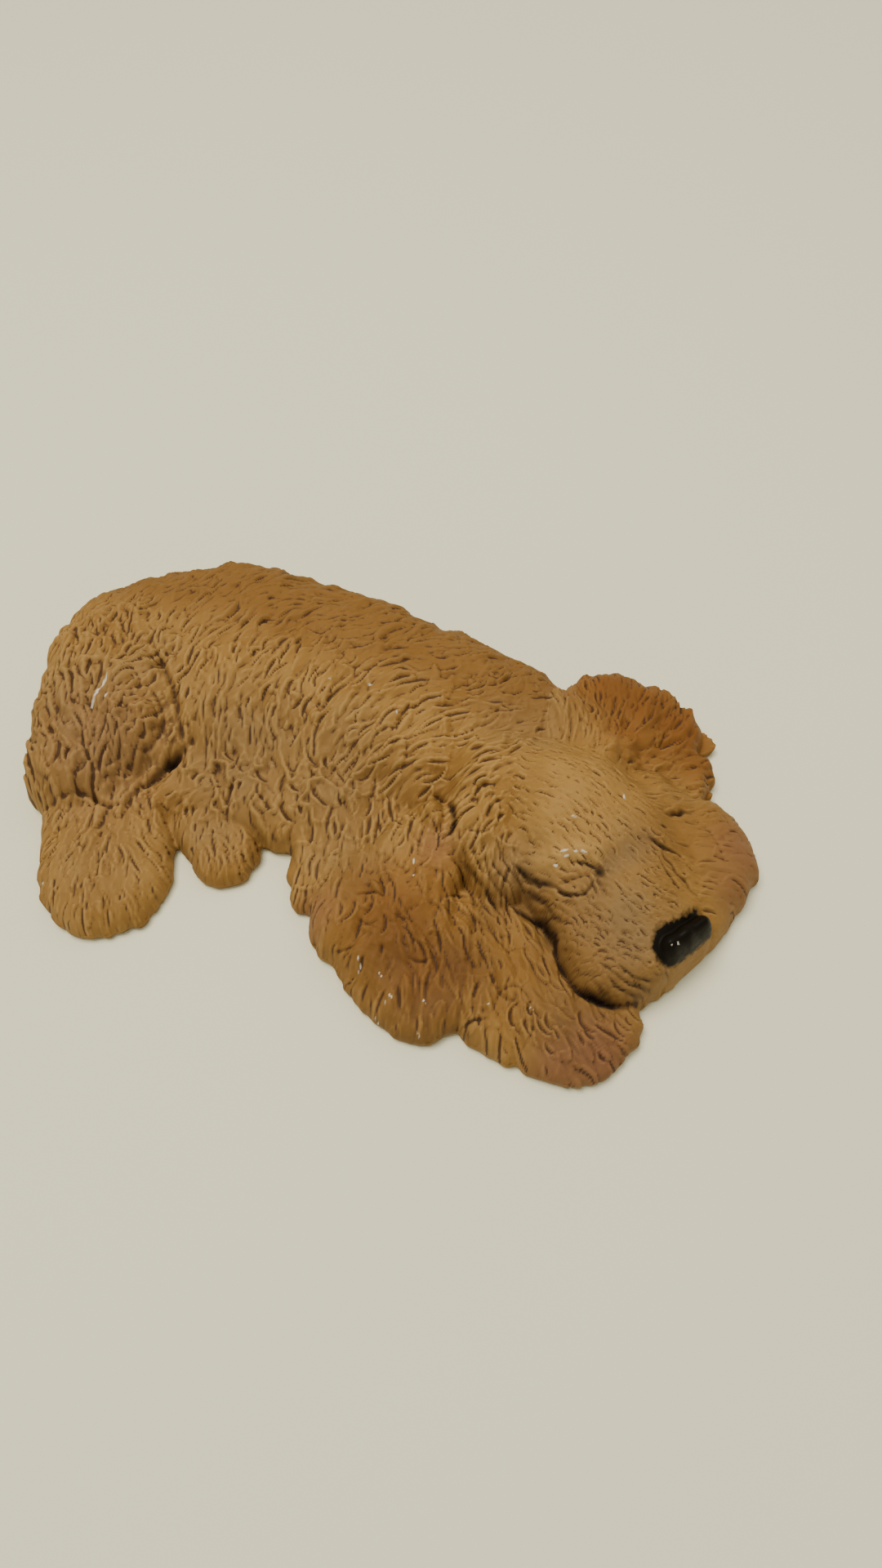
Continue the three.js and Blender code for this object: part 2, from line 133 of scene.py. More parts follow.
# Strands on each form: the depth of the grooves between them, the height of the waves that they ride over and
# the height of crumpled ridges, all in mm.
STRANDS = {
    "torso": (0.22, 0.34, 0.2), "belly": (0.16, 0.2, 0.9), "chest": (0.26, 0.32, 0.4),
    "near hind foot": (0.34, 0.26, 0.0), "hind paw": (0.34, 0.2, 0.1), "haunch": (0.26, 0.48, 0.4),
    "far ear": (0.36, 0.48, 0.0), "far forepaw": (0.26, 0.14, 0.0), "near foreleg": (0.24, 0.36, 0.2),
    "near ear": (0.24, 0.36, 0.15), "neck": (0.24, 0.36, 0.45), "head": (0.13, 0.06, 0.0),
    "cheek": (0.13, 0.08, 0.08), "lips": (0.13, 0.08, 0.08), "curl": (0.15, 0.05, 0.0), "nose": (0, 0, 0),
}

# Cuts of the modelling tool in each form: patch for one cut in square mm, length, half width and depth in mm,
# and the scatter of its direction in degrees.
CUTS = {
    "torso": (3.0, 3.2, 0.15, 0.68, 30), "belly": (2.8, 2.2, 0.18, 0.66, 90),
    "haunch": (2.4, 3.6, 0.17, 0.86, 30), "chest": (3.4, 3.2, 0.16, 0.58, 30),
    "neck": (2.6, 3.0, 0.16, 0.66, 30), "hind paw": (1.7, 2.4, 0.14, 0.44, 34),
    "near hind foot": (1.6, 2.4, 0.14, 0.48, 26), "far ear": (2.0, 2.6, 0.14, 0.42, 12),
    "far forepaw": (3.0, 2.6, 0.14, 0.34, 18), "near foreleg": (3.2, 3.2, 0.15, 0.62, 40),
    "near ear": (4.0, 3.2, 0.15, 0.54, 36), "head": (0.65, 1.5, 0.12, 0.38, 26),
    "cheek": (0.5, 1.4, 0.13, 0.42, 30), "lips": (0.45, 1.4, 0.13, 0.44, 36),
    "curl": (2.0, 1.4, 0.16, 0.3, 30),
}

# Creases pressed in: width and depth in mm, how dark they are painted, with dark paint washed in and as
# painted shadow in the crease, and the points the line passes through.
CREASES = {
    "haunch edge": (0.5, 1.1, 0.45, [(-318, 196), (-308, 179), (-294, 146), (-284, 104), (-281, 82)]),
    "haunch shadow": (0.75, 2.2, 1.0, [
        (-270, 86), (-284, 74), (-296, 63), (-309, 51), (-321, 41), (-333, 31)]),
    "haunch corner": (0.45, 0.8, 0.35, [(-333, 32), (-343, 16), (-352, 0), (-362, -10)]),
    "haunch low edge": (0.34, 0.9, 0.45, [
        (-344, 8), (-355, -2), (-378, -3), (-403, 9), (-433, 4), (-469, 3)]),
    "haunch clump": (0.26, 0.4, 0.25, [(-338, 45), (-356, 36), (-372, 30), (-386, 16), (-398, 4)]),
    "haunch lock a": (0.3, 0.6, 0.55, [(-372, 100), (-360, 84), (-356, 66), (-362, 50), (-374, 38)]),
    "haunch lock b": (0.28, 0.55, 0.5, [(-402, 86), (-394, 66), (-394, 46), (-404, 30), (-418, 20)]),
    "haunch lock c": (0.28, 0.55, 0.5, [(-330, 150), (-318, 138), (-308, 120), (-306, 102), (-314, 86)]),
    "haunch lock d": (0.26, 0.5, 0.45, [(-436, 78), (-432, 58), (-438, 40), (-450, 28)]),
    "haunch lock e": (0.26, 0.5, 0.45, [(-350, 172), (-340, 158), (-336, 140), (-342, 124)]),
    "haunch dip": (0.28, 0.5, 0.45, [(-322, 118), (-331, 104), (-341, 88), (-349, 73)]),
    "jaw": (0.36, 1.4, 0.95, [
        (153, -138), (162, -144), (179, -156), (199, -169), (210, -183), (213, -204), (220, -225),
        (235, -249), (256, -266), (281, -272), (313, -266)]),
    "jaw start": (0.62, 1.5, 1.5, [(165, -146), (178, -154), (194, -162), (205, -176), (212, -195)]),
    "jaw end": (0.46, 1.1, 1.3, [(229, -246), (247, -259), (271, -270), (300, -272)]),
    "lashes": (0.42, 0.45, 1.15, [
        (158, -103), (163, -107), (172, -113), (180, -119), (191, -128), (203, -134), (213, -139)]),
    "lid edge": (0.24, 0.5, 0.7, [(212, -137), (223, -134), (233, -132), (243, -130), (255, -130)]),
    "below the corner": (0.55, 0.4, 0.55, [(258, -134), (262, -141), (268, -147)]),
    "upper lid": (0.28, 0.45, 1.1, [(230, -114), (243, -115), (253, -119), (260, -123), (267, -128)]),
    "lower lid": (0.29, 0.55, 1.2, [
        (205, -135), (212, -139), (217, -144), (223, -149), (233, -152), (242, -152), (247, -150),
        (252, -145), (256, -138)]),
    "under the lid": (0.22, 0.24, 0.7, [(220, -156), (226, -157), (234, -158)]),
    "inner corner": (0.8, 0.6, 1.05, [(259, -122), (264, -127), (269, -134)]),
    "cheek fold": (0.34, 0.5, 0.95, [
        (170, -122), (180, -132), (190, -141), (199, -150), (205, -160), (213, -171), (222, -182)]),
    "low cheek fold": (0.2, 0.22, 0.4, [(174, -134), (186, -148), (196, -160), (206, -172), (216, -186)]),
    "temple a": (0.26, 0.44, 0.8, [(122, -78), (124, -93), (128, -111), (138, -127), (154, -139)]),
    "temple b": (0.28, 0.5, 0.9, [(89, -88), (99, -93), (112, -109), (125, -126), (137, -143), (153, -165)]),
    "temple c": (0.24, 0.4, 0.75, [(116, -133), (124, -157), (134, -179), (150, -203)]),
    "temple d": (0.24, 0.4, 0.75, [(101, -63), (120, -67), (137, -59)]),
    "temple e": (0.22, 0.4, 0.8, [(130, -89), (136, -106), (148, -120), (159, -128)]),
    "temple f": (0.22, 0.4, 0.8, [(145, -85), (148, -99), (156, -112), (168, -124)]),
    "temple g": (0.2, 0.36, 0.75, [(155, -92), (160, -110), (172, -127), (184, -142)]),
    "temple h": (0.2, 0.36, 0.75, [(150, -118), (159, -133), (171, -145), (184, -154)]),
    "temple i": (0.2, 0.36, 0.75, [(136, -70), (141, -82), (143, -96)]),
    "temple j": (0.24, 0.5, 0.85, [(91, -85), (108, -103), (122, -122), (137, -135)]),
    "temple k": (0.24, 0.46, 0.8, [(81, -93), (96, -100), (110, -129), (122, -159)]),
    "temple l": (0.2, 0.36, 0.7, [(107, -85), (118, -103), (130, -118)]),
    "temple m": (0.2, 0.36, 0.7, [(74, -103), (85, -117), (95, -136)]),
    "curl top": (0.26, 0.55, 0.6, [(53, 7), (61, 6), (69, 1), (77, -12)]),
    "curl": (0.55, 1.4, 1.1, [(78, -16), (83, -30), (85, -44), (84, -54), (80, -62), (72, -65)]),
    "curl side": (0.24, 0.4, 0.5, [(32, -20), (27, -38), (30, -56), (40, -68)]),
    "curl middle": (0.2, 0.26, 0.4, [(44, -20), (50, -36), (60, -46)]),
    "ear edge": (0.4, 0.55, 0.15, [
        (89, -62), (101, -94), (110, -139), (104, -196), (96, -239), (90, -276), (88, -297)]),
    "ear line": (0.2, 0.28, 0.4, [(70, -105), (68, -138), (59, -169), (68, -199), (64, -231)]),
    "ear hook a": (0.26, 0.42, 0.8, [(-39, -135), (-21, -132), (-3, -138)]),
    "ear hook b": (0.26, 0.42, 0.8, [(-35, -167), (-23, -173), (-12, -169)]),
    "ear hook c": (0.24, 0.38, 0.7, [(20, -163), (26, -167), (33, -170)]),
    "ear hook d": (0.26, 0.42, 0.8, [(27, -213), (42, -218), (57, -212)]),
    "ear hook e": (0.24, 0.38, 0.7, [(78, -132), (91, -125), (105, -126)]),
    "ear low fold": (0.3, 0.6, 0.8, [(93, -296), (108, -290), (125, -288)]),
    "ear notch": (0.26, 0.5, 0.6, [(-66, -200), (-56, -201), (-45, -200)]),
    "leg loop": (0.24, 0.4, 0.5, [
        (133, -277), (141, -257), (161, -250), (177, -268), (180, -303), (168, -324)]),
    "leg inner loop": (0.2, 0.3, 0.4, [(146, -282), (156, -268), (166, -283), (168, -309)]),
    "wrinkle a": (0.24, 0.4, 0.9, [(261, -235), (270, -241), (278, -248)]),
    "wrinkle b": (0.26, 0.42, 0.9, [
        (276, -244), (282, -249), (290, -253), (302, -256), (320, -256), (332, -253)]),
    "wrinkle c": (0.24, 0.4, 0.9, [(271, -250), (278, -256), (289, -261), (305, -263), (320, -261)]),
    "wrinkle d": (0.24, 0.38, 0.9, [(282, -237), (290, -243), (302, -249), (318, -250), (336, -248)]),
    "wrinkle e": (0.22, 0.34, 0.8, [(257, -254), (266, -262), (279, -267)]),
    "stop": (1.9, 0.48, 0.0, [(262, -124), (285, -112), (310, -97), (334, -84)]),
    "far brow": (0.38, 0.45, 1.1, [(326, -80), (336, -87), (353, -93), (371, -96)]),
    "far lid a": (0.32, 0.45, 1.0, [
        (343, -97), (347, -106), (356, -113), (362, -123), (374, -130), (380, -139), (389, -143)]),
    "far lid b": (0.24, 0.3, 0.8, [(338, -105), (345, -119), (353, -129), (366, -144)]),
    "far lid c": (0.22, 0.26, 0.6, [(357, -100), (366, -108), (380, -114)]),
    "far slot": (0.5, 0.9, 1.0, [
        (355, -36), (363, -36), (369, -32), (376, -31), (383, -25), (392, -25), (400, -20)]),
    "far dot a": (0.34, 0.6, 1.0, [(371, -3), (377, -1), (383, 0)]),
    "far dot b": (0.3, 0.4, 1.0, [(346, -60), (356, -59)]),
    "paw line a": (0.2, 0.22, 0.3, [(415, -13), (438, -23), (446, -45)]),
    "paw line b": (0.2, 0.22, 0.3, [(402, -40), (421, -63), (432, -100)]),
    "rump nick": (0.26, 0.5, 1.0, [(-434, 308), (-422, 312)]),
}

# Ridges raised: width and height in mm, and the points the line passes through.
RIDGES = {
    "brow": (1.5, 1.15, [(180, -104), (200, -107), (220, -104), (240, -102), (262, -104)]),
    "eyelid": (1.15, 0.85, [(227, -144), (239, -144), (250, -139)]),
    "cheek": (0.8, 0.25, [(190, -132), (204, -146), (216, -160)]),
    "temple bump": (1.0, 0.45, [(143, -72), (148, -69), (154, -68)]),
    "far brow": (0.9, 0.45, [(325, -68), (345, -79), (368, -84)]),
    "upper lid": (1.5, 0.45, [(192, -118), (212, -121), (236, -122)]),
    "ear root": (2.2, 1.1, [(85, -82), (95, -90), (108, -106), (120, -125)]),
    "crown": (3.2, 1.1, [(280, 64), (306, 54), (332, 44)]),
    "lip": (0.7, 0.22, [(232, -230), (246, -248), (268, -258), (296, -264)]),
}

# White marks where the paint is chipped, and painted highlights (glints) on the brow, the forehead and the
# nose in the same colour: width in mm and the points each passes through.
CHIPS_AND_GLINTS = [
    (0.22, [(-376, 154), (-379, 138), (-385, 122), (-390, 112)]), (0.4, [(-388, 112), (-395, 106)]),
    (0.18, [(-372, 122), (-375, 116)]), (0.12, [(-2, -264), (-3, -275)]), (0.12, [(-15, -279), (-11, -288)]),
    (0.12, [(44, -262), (49, -270)]), (0.12, [(-37, -212), (-34, -222), (-36, -230)]),
    (0.12, [(-10, -231), (-6, -238)]), (0.12, [(33, -90), (32, -99)]), (0.12, [(30, -108), (35, -115)]),
    (0.12, [(36, -299), (43, -307)]), (0.12, [(122, -270), (128, -274)]), (0.12, [(175, -276), (182, -280)]),
    (0.12, [(2, -258), (8, -264)]), (0.32, [(444, 100), (449, 96)]), (0.32, [(-119, 357), (-112, 356)]),
    (0.18, [(-84, 159), (-80, 155)]), (0.18, [(-32, 151), (-25, 149)]), (0.16, [(8, 108), (10, 104)]),
    # The marks from the one at (208, -116) on are painted highlights, not chipped paint.
    (0.16, [(64, 130), (66, 127)]), (0.2, [(-458, -98), (-456, -102)]), (0.19, [(208, -116), (213, -116)]),
    (0.15, [(216, -102), (225, -102)]), (0.19, [(232, -104), (237, -104)]),
    (0.19, [(239, -102), (249, -107)]), (0.1, [(220, -108), (226, -108)]), (0.15, [(229, -61), (236, -64)]),
    (0.14, [(298, -24), (301, -34)]), (0.15, [(354, -214), (357, -216)]), (0.13, [(346, -218), (348, -219)]),
]

# Tufts that stand out past the outline: u, v of the tip and the way it points, in degrees.
TIPS = [
    (301, 238, 92), (322, 234, 84), (351, 228, 74), (380, 217, 60), (398, 196, 52), (434, 150, 30),
    (446, 137, 22), (453, 128, 14), (457, 119, 8), (448, 78, 2), (444, 40, -6),
]
TIP = (5.5, 1.4, 0.45)  # their length, half width and lift in mm

# Notches in the far ear's rim: u, v, and radius in mm.
NOTCHES = [(432, 93, 0.9), (421, 177, 2.0)]

# A smooth place beside the crown: u, v and radius of a soft round patch, and its strength.
SMOOTHED = [(312, 55, 36, 0.55)]

# Painted shade in deep places, with dark paint washed into them: u, v and radius of a soft round patch, and
# its strength.
SHADE_AND_WASH = [
    (-296, 96, 22, 0.9), (-302, 128, 18, 0.6), (-322, 55, 20, 0.7), (-345, 20, 22, 0.5), (268, -126, 12, 0.8),
    (185, -143, 14, 0.6), (204, -160, 10, 0.6), (84, -30, 12, 0.6), (-150, 105, 40, 0.3), (-60, 85, 40, 0.3),
    (-230, 60, 35, 0.35), (150, -118, 22, 0.5), (110, -80, 25, 0.4), (60, 20, 25, 0.4), (285, -114, 22, 0.3),
    (305, -102, 22, 0.3), (325, -90, 22, 0.35), (-50, -20, 90, 0.25), (45, -265, 80, 0.6),
    (235, -310, 70, 0.65), (-400, 50, 70, 0.3), (-220, 50, 80, 0.25), (-385, -60, 90, 0.25),
    (262, -138, 18, 0.7),
]

# Paint tints, painted shade and painted highlights: u, v and radius of a soft round patch, and its strength.
RUSTY = [
    (10, -190, 85, 0.7), (50, -255, 75, 0.5), (85, -215, 55, 0.8), (120, -163, 35, 0.5), (318, 159, 75, 0.6),
    (374, 130, 70, 0.6), (411, 85, 60, 0.5), (40, -290, 55, 0.4), (-30, -130, 50, 0.5),
]
# Painted shade: patches darkened on the near foreleg and its foot, the near ear, the far forepaw and ear, the
# rump.
SHADED = [
    (170, -235, 110, 0.8), (250, -300, 90, 0.9), (10, -200, 100, 0.5), (410, -70, 90, 0.8),
    (350, 110, 110, 0.6), (-380, 290, 80, 0.4),
]
ORANGE = [
    (320, 100, 50, 0.7), (272, 190, 50, 0.8), (305, 170, 70, 1.0), (350, 150, 70, 1.0), (395, 120, 65, 1.0),
    (425, 75, 45, 0.8), (10, -160, 80, 0.6), (60, -120, 45, 0.4), (45, -230, 60, 0.6),
]
PINKISH = [
    (263, -340, 50, 0.8), (215, -352, 45, 0.7), (-98, -151, 35, 0.6), (460, -71, 45, 0.7),
    (445, -120, 40, 0.5), (60, -75, 30, 0.5), (-380, 60, 90, 0.25),
]
# Painted highlights on the brow ridge and the forehead.
PAINTED_HIGHLIGHTS = [
    (195, -106, 16, 0.7), (215, -104, 18, 0.9), (238, -102, 18, 0.9), (258, -104, 14, 0.7),
    (230, -50, 60, 0.5),
]
# Duller, greyer paint on the muzzle, and partly painted shade on the lower sides, the stop and round the eye.
DULL_AND_SHADED = [
    (278, -118, 26, 0.9), (300, -104, 26, 0.9), (322, -90, 26, 0.8), (190, -135, 30, 0.8),
    (290, -200, 80, 1.0), (250, -185, 70, 0.9), (255, -155, 55, 0.7), (165, -110, 45, 0.8),
    (310, -100, 50, 0.6), (-400, 90, 110, 0.6), (-330, 170, 70, 0.4), (-200, 60, 110, 0.6),
    (-80, 30, 100, 0.5), (180, 110, 70, 0.7), (240, -300, 70, 0.6), (-390, -90, 80, 0.3),
    (-240, -20, 70, 0.5), (-60, -70, 70, 0.4),
]


# Chance is an index scrambled by these, and the hills of each map are shifted apart by their key.
SCRAMBLE = (12.9898, 78.233, 43758.5453)
SHIFT_U, SHIFT_V, ROW_STRIDE = 37.7, 91.3, 57
HILLS_PEAK = 1.5  # what two octaves add up to
SWELL_KEY, SWAY_KEY, SWIRL_KEY, STRAND_KEY, BEND_KEY, FADE_KEY = 3, 5, 6, 7, 8, 9
STROKE_KEY, WAVE_KEY, ACROSS_KEY, ALONG_KEY, CRUMPLE_KEY, FLUTE_KEY = 11, 13, 21, 22, 23, 31
CUT_KEYS = 20  # the cuts' roots are scattered apart from the locks' by this
ROOTS_APART = 1000

# How the locks and cuts vary: the key of the chance, the least value and how much it may add.
VARIED = {
    "lock length": (1, 0.6, 0.8), "lock way": (2, -1, 2), "lock width": (3, 0.6, 0.8),
    "lock lift": (4, 0.5, 0.9), "lock turn": (5, -1, 2), "lock waver": (6, 0.6, 1), "lock phase": (7, 0, 1),
    "lock base": (8, 0, 1),
    "cut length": (11, 0.4, 1.1), "cut way": (12, -0.5, 1), "cut turn": (13, -1, 2), "cut depth": (14, 0, 1),
    "cut width": (16, 0.8, 0.5),
}


def in_shares(rows, count):
    """The rows with their first numbers turned from thousandths of the length into shares of it."""
    return [[size / 1000 for size in row[:count]] + list(row[count:]) for row in rows]


for form in (*FORMS.values(), NOSE_PAINT):
    form["discs"] = in_shares(form["discs"], 3)


def soft_max(a, b, softness):
    """The larger of a and b, rounded off where they are nearly alike."""
    t = np.clip(0.5 + 0.5 * (b - a) / softness, 0, 1)
    return a + (b - a) * t + softness * t * (1 - t)


def chance(index, key):
    """A repeatable chance in 0..1."""
    x = np.sin(index * SCRAMBLE[0] + key * SCRAMBLE[1]) * SCRAMBLE[2]
    return x - np.floor(x)


def varied(index, what):
    """One lock's or cut's own value of what VARIED lists."""
    key, least, spread = VARIED[what]
    return least + spread * chance(index, key)


def hills(u, v, scale, key, octaves=2):
    """Smooth random hills from -1 to 1 over the plan, about one scale wide."""
    total = np.zeros(u.shape)
    for octave in range(octaves):
        size = scale / 2 ** octave
        x, y = u / size + SHIFT_U * key, v / size + SHIFT_V * key
        x0, y0 = np.floor(x), np.floor(y)
        fx, fy = x - x0, y - y0
        fx, fy = fx * fx * (3 - 2 * fx), fy * fy * (3 - 2 * fy)
        corners = [2 * chance(x0 + i + ROW_STRIDE * (y0 + j), key + octave) - 1
                   for j in (0, 1) for i in (0, 1)]
        near = corners[0] * (1 - fx) + corners[1] * fx
        far = corners[2] * (1 - fx) + corners[3] * fx
        total += (near * (1 - fy) + far * fy) / 2 ** octave
    return total / HILLS_PEAK


def beside(u, v, u0, v0, u1, v1):
    """How far along a straight stretch each point lies, from 0 to 1, and its distance from the stretch."""
    du, dv = u1 - u0, v1 - v0
    along = np.clip(((u - u0) * du + (v - v0) * dv) / (du * du + dv * dv), 0, 1)
    return along, np.hypot(u - u0 - du * along, v - v0 - dv * along)


def form_at(form, u, v):
    """One form at many points: how far inside its outline, its rise, and the way the hair lies."""
    inside = np.full(u.shape, -FAR)
    rise = np.zeros(u.shape)
    comb = np.zeros(u.shape)
    discs = form["discs"]
    wander = 0
    if form["ragged"]:
        flutes = form.get("fluted", FLUTED) * hills(u, v, FLUTED_SCALE, FLUTE_KEY, octaves=1)
        bays = form["ragged"] * hills(u, v, RAGGED_SCALE, discs[0][2])  # a form's first radius is its key
        wander = MM * (bays + flutes)
    for (u0, v0, r0, rise0, comb0), (u1, v1, r1, rise1, comb1) in zip(discs, discs[1:]):
        along, gap = beside(u, v, u0, v0, u1, v1)
        radius = r0 + (r1 - r0) * along + wander
        out = gap / radius
        du, dv = u1 - u0, v1 - v0
        side = (du * (v - v0) - dv * (u - u0)) / math.hypot(du, dv) / radius
        nearer = radius * (1 - out) > inside
        inside = np.where(nearer, radius * (1 - out), inside)
        turned = comb0 + (comb1 - comb0) * along + form["fan"] * np.clip(side, -1, 1)
        comb = np.where(nearer, turned, comb)
        crown = rise0 + (rise1 - rise0) * along
        dome = crown * np.sqrt(np.clip(1 - out ** form.get("round", ROUNDNESS), 0, 1))
        rise = soft_max(rise, dome, DISC_JOIN)
    return inside, np.where(inside > 0, rise, 0), comb


def forms_at(u, v):
    """All forms at many points, with the index of the topmost one as owner."""
    inside = np.full(u.shape, -FAR)
    rise, highest, comb = np.zeros(u.shape), np.zeros(u.shape), np.zeros(u.shape)
    owner = np.full(u.shape, -1)
    for index, form in enumerate(FORMS.values()):
        own_inside, own_rise, own_comb = form_at(form, u, v)
        inside = np.maximum(inside, own_inside)
        on_top = own_rise > highest
        highest = np.where(on_top, own_rise, highest)
        comb = np.where(on_top, own_comb, comb)
        owner = np.where(on_top, index, owner)
        rise = np.where(own_inside > 0, soft_max(rise, own_rise, form["blend"]), rise)
    return inside, rise, comb, owner


# The grid is close over the head and wider over the body. For each way: its low and high end, and the ends of
# the close stretch.
GRID_U = (-0.53, 0.51, 0.16, 0.42)
GRID_V = (-0.39, 0.44, -0.24, 0.05)
EASING = 0.06  # the spacing eases from close to wide over this
WIDE, FINE = ((0.251 * MM, 0.190 * MM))


def graded(low, high, fine_low, fine_high):
    """Grid lines from low to high, with the close ones between the other two."""
    lines = [low]
    while lines[-1] < high:
        away = max(fine_low - lines[-1], lines[-1] - fine_high, 0)
        lines.append(lines[-1] + FINE + (WIDE - FINE) * min(away / EASING, 1))
    return np.array(lines)


US, VS = graded(*GRID_U), graded(*GRID_V)
U, V = np.meshgrid(US, VS)
INSIDE, RISE, COMB, OWNER = forms_at(U, V)
NAMES = list(FORMS)


def window(low, high):
    """The part of the grid between two corners, as a pair of slices."""
    columns = slice(*np.searchsorted(US, (low[0], high[0])))
    rows = slice(*np.searchsorted(VS, (low[1], high[1])))
    return rows, columns


def window_round(u, v, reach):
    """The part of the grid within reach of a point."""
    return window((u - reach, v - reach), (u + reach, v + reach))


def blurred(a, radius):
    """The map softened over a radius."""
    for axis, lines in ((1, US), (0, VS)):
        reach = max(1, int(round(radius / np.median(np.diff(lines)))))
        kernel = np.hanning(2 * reach + 3)[1:-1]
        kernel /= kernel.sum()
        pad = [(reach, reach) if k == axis else (0, 0) for k in (0, 1)]
        padded = np.pad(a, pad, mode="edge")
        a = sum(w * np.take(padded, range(k, k + a.shape[axis]), axis) for k, w in enumerate(kernel))
    return a


def sampled(a, u, v):
    """The map's value between grid points."""
    x = np.interp(u, US, np.arange(len(US)))
    y = np.interp(v, VS, np.arange(len(VS)))
    i, j = np.minimum(x.astype(int), len(US) - 2), np.minimum(y.astype(int), len(VS) - 2)
    fx, fy = x - i, y - j
    low = a[j, i] * (1 - fx) + a[j, i + 1] * fx
    high = a[j + 1, i] * (1 - fx) + a[j + 1, i + 1] * fx
    return low * (1 - fy) + high * fy


def drawn_out(a, angle, reach, steps=7):
    """The map smeared along the angle by the reach each way, which turns spots into strands."""
    du, dv = np.cos(angle) * reach / steps, np.sin(angle) * reach / steps
    total = a.copy()
    for way in (1, -1):
        u, v = U.copy(), V.copy()
        for _ in range(steps):
            u, v = u + way * sampled(du, u, v), v + way * sampled(dv, u, v)
            total += sampled(a, u, v)
    return total / (2 * steps + 1)


def smooth_line(points, steps=10):
    """Points along a smooth line through the given ones."""
    p = np.array(points, float)
    p = np.vstack([2 * p[0] - p[1], p, 2 * p[-1] - p[-2]])
    line = []
    for a, b, c, d in zip(p, p[1:], p[2:], p[3:]):
        for t in np.arange(steps) / steps:
            line.append(0.5 * (2 * b + (c - a) * t + (2 * a - 5 * b + 4 * c - d) * t ** 2
                               + (3 * b - a - 3 * c + d) * t ** 3))
    line.append(p[-2])
    return np.array(line)


# A stroke follows a stretch of a half wave, so that its ends are thinner, and its weight wavers.
STROKE_START, STROKE_SPAN, STROKE_BLUNT = 0.1, 0.8, 0.6
STROKE_WEIGHT, STROKE_WAVER, STROKE_SCALE = 0.82, 0.3, 1.6 * MM
STROKE_THIN, STROKE_FULLER = 0.4, 0.6  # its least width, and what its weight adds
STROKE_REACH = 3  # it ends this many widths off


def stroke(width, points):
    """1 on a smooth line through the points, falling off over the width in mm, thinner towards both ends."""
    line = smooth_line(in_shares(points, 2))
    reach = STROKE_REACH * width * MM
    here = window(line.min(0) - reach, line.max(0) + reach)
    u, v = U[here], V[here]
    nearest, share = np.full(u.shape, FAR), np.zeros(u.shape)
    for k, (start, end) in enumerate(zip(line, line[1:])):
        along, gap = beside(u, v, *start, *end)
        nearer = gap < nearest
        nearest = np.where(nearer, gap, nearest)
        share = np.where(nearer, (k + along) / (len(line) - 1), share)
    weight = STROKE_WEIGHT + STROKE_WAVER * hills(u, v, STROKE_SCALE, STROKE_KEY)
    weight = np.sin(math.pi * (STROKE_START + STROKE_SPAN * share)) ** STROKE_BLUNT * weight
    mask = np.zeros(U.shape)
    mask[here] = weight * np.exp(-(nearest / (width * MM * (STROKE_THIN + STROKE_FULLER * weight))) ** 2)
    return mask


PATCH_REACH = 1.3  # in radii: a patch is gone there, and full within this less 1


def patches(spots):
    """Soft round patches on the grid."""
    mask = np.zeros(U.shape)
    for u, v, radius, strength in in_shares(spots, 3):
        mask = np.maximum(mask, strength * np.clip(PATCH_REACH - np.hypot(U - u, V - v) / radius, 0, 1))
    return mask


def owned_by(*names):
    """1 where one of the forms is on top."""
    return np.isin(OWNER, [NAMES.index(name) for name in names]).astype(float)


# Along the back the hair lies flatter than on the flank. A line that falls towards the neck parts them.
BACK_U, BACK_V, BACK_FALL, BACK_BAND, BACK_FLATTER = -0.325, 0.235, 0.36, 0.09, 0.2
back_line = BACK_V - BACK_FALL * (U - BACK_U)
BACK = np.clip((V - back_line) / BACK_BAND, 0, 1) * (OWNER == NAMES.index("torso"))

# The short coat of the face, which the long hair of the forms beside it hardly reaches.
SKINNED = ("head", "cheek", "lips")
SKIN = blurred(owned_by(*SKINNED, "nose"), 1.2 * MM)
SKIN_FLATTER = 0.9

# The nose is bare a little way out from its paint, which doesn't run down the steep side below it.
NOSE_FOOT, NOSE_STOP = 0.54, 0.08
NOSE_BARE, NOSE_FADE = 0.2, 0.6
NOSE_INSIDE = form_at(NOSE_PAINT, U, V)[0] - NOSE_STOP * np.clip(NOSE_FOOT - RISE, 0, 1)
BARE_NOSE = np.clip(1 + (NOSE_INSIDE / MM + NOSE_BARE) / NOSE_FADE, 0, 1)

FLATTER = (1 - BACK_FLATTER * BACK) * (1 - BARE_NOSE)
OFF_SKIN = FLATTER * (1 - SKIN_FLATTER * SKIN) * (1 - patches(SMOOTHED))


def room_for(name):
    """How high the hair of a form may stand, over the grid."""
    return FLATTER if name in SKINNED else OFF_SKIN


def halton(index, base):
    """An even scatter in 0..1 for an array of whole numbers."""
    index = index.copy()
    total, share = np.zeros(index.shape), 1.0
    while index.any():
        share /= base
        total += share * (index % base)
        index //= base
    return total


SWAY = 7 * MM  # how wide a stretch of hair sways one way
SWIRL, SWIRL_SHARE = 3.2 * MM, 0.5  # and the smaller swirls in it
BENDS, BEND_GAIN = 6 * MM, 1.6  # how wide a stretch of hair bends one way


def swaying(u, v):
    """How far the hair swings off its comb, about -1 to 1, alike for places that are close together."""
    return hills(u, v, SWAY, SWAY_KEY) + SWIRL_SHARE * hills(u, v, SWIRL, SWIRL_KEY, octaves=1)


def scatter(name, spacing, key, sway):
    """Even roots over one form, one for each patch of that size: index, u, v, the way the hair lies there and
    how it bends, from -1 to 1, both much alike for roots that are close together."""
    discs = np.array(FORMS[name]["discs"])
    low = (discs[:, :2] - discs[:, 2:3]).min(0)
    high = (discs[:, :2] + discs[:, 2:3]).max(0)
    index = np.arange(1, int(np.prod(high - low) / spacing) + 1) + ROOTS_APART * key
    u = low[0] + (high[0] - low[0]) * halton(index, 2)
    v = low[1] + (high[1] - low[1]) * halton(index, 3)
    _, _, comb, owner = forms_at(u, v)
    comb = comb + sway * swaying(u, v)
    bend = np.clip(BEND_GAIN * hills(u, v, BENDS, BEND_KEY), -1, 1)
    keep = owner == NAMES.index(name)
    return index[keep], u[keep], v[keep], comb[keep], bend[keep]


STRAIGHT = 1e-3


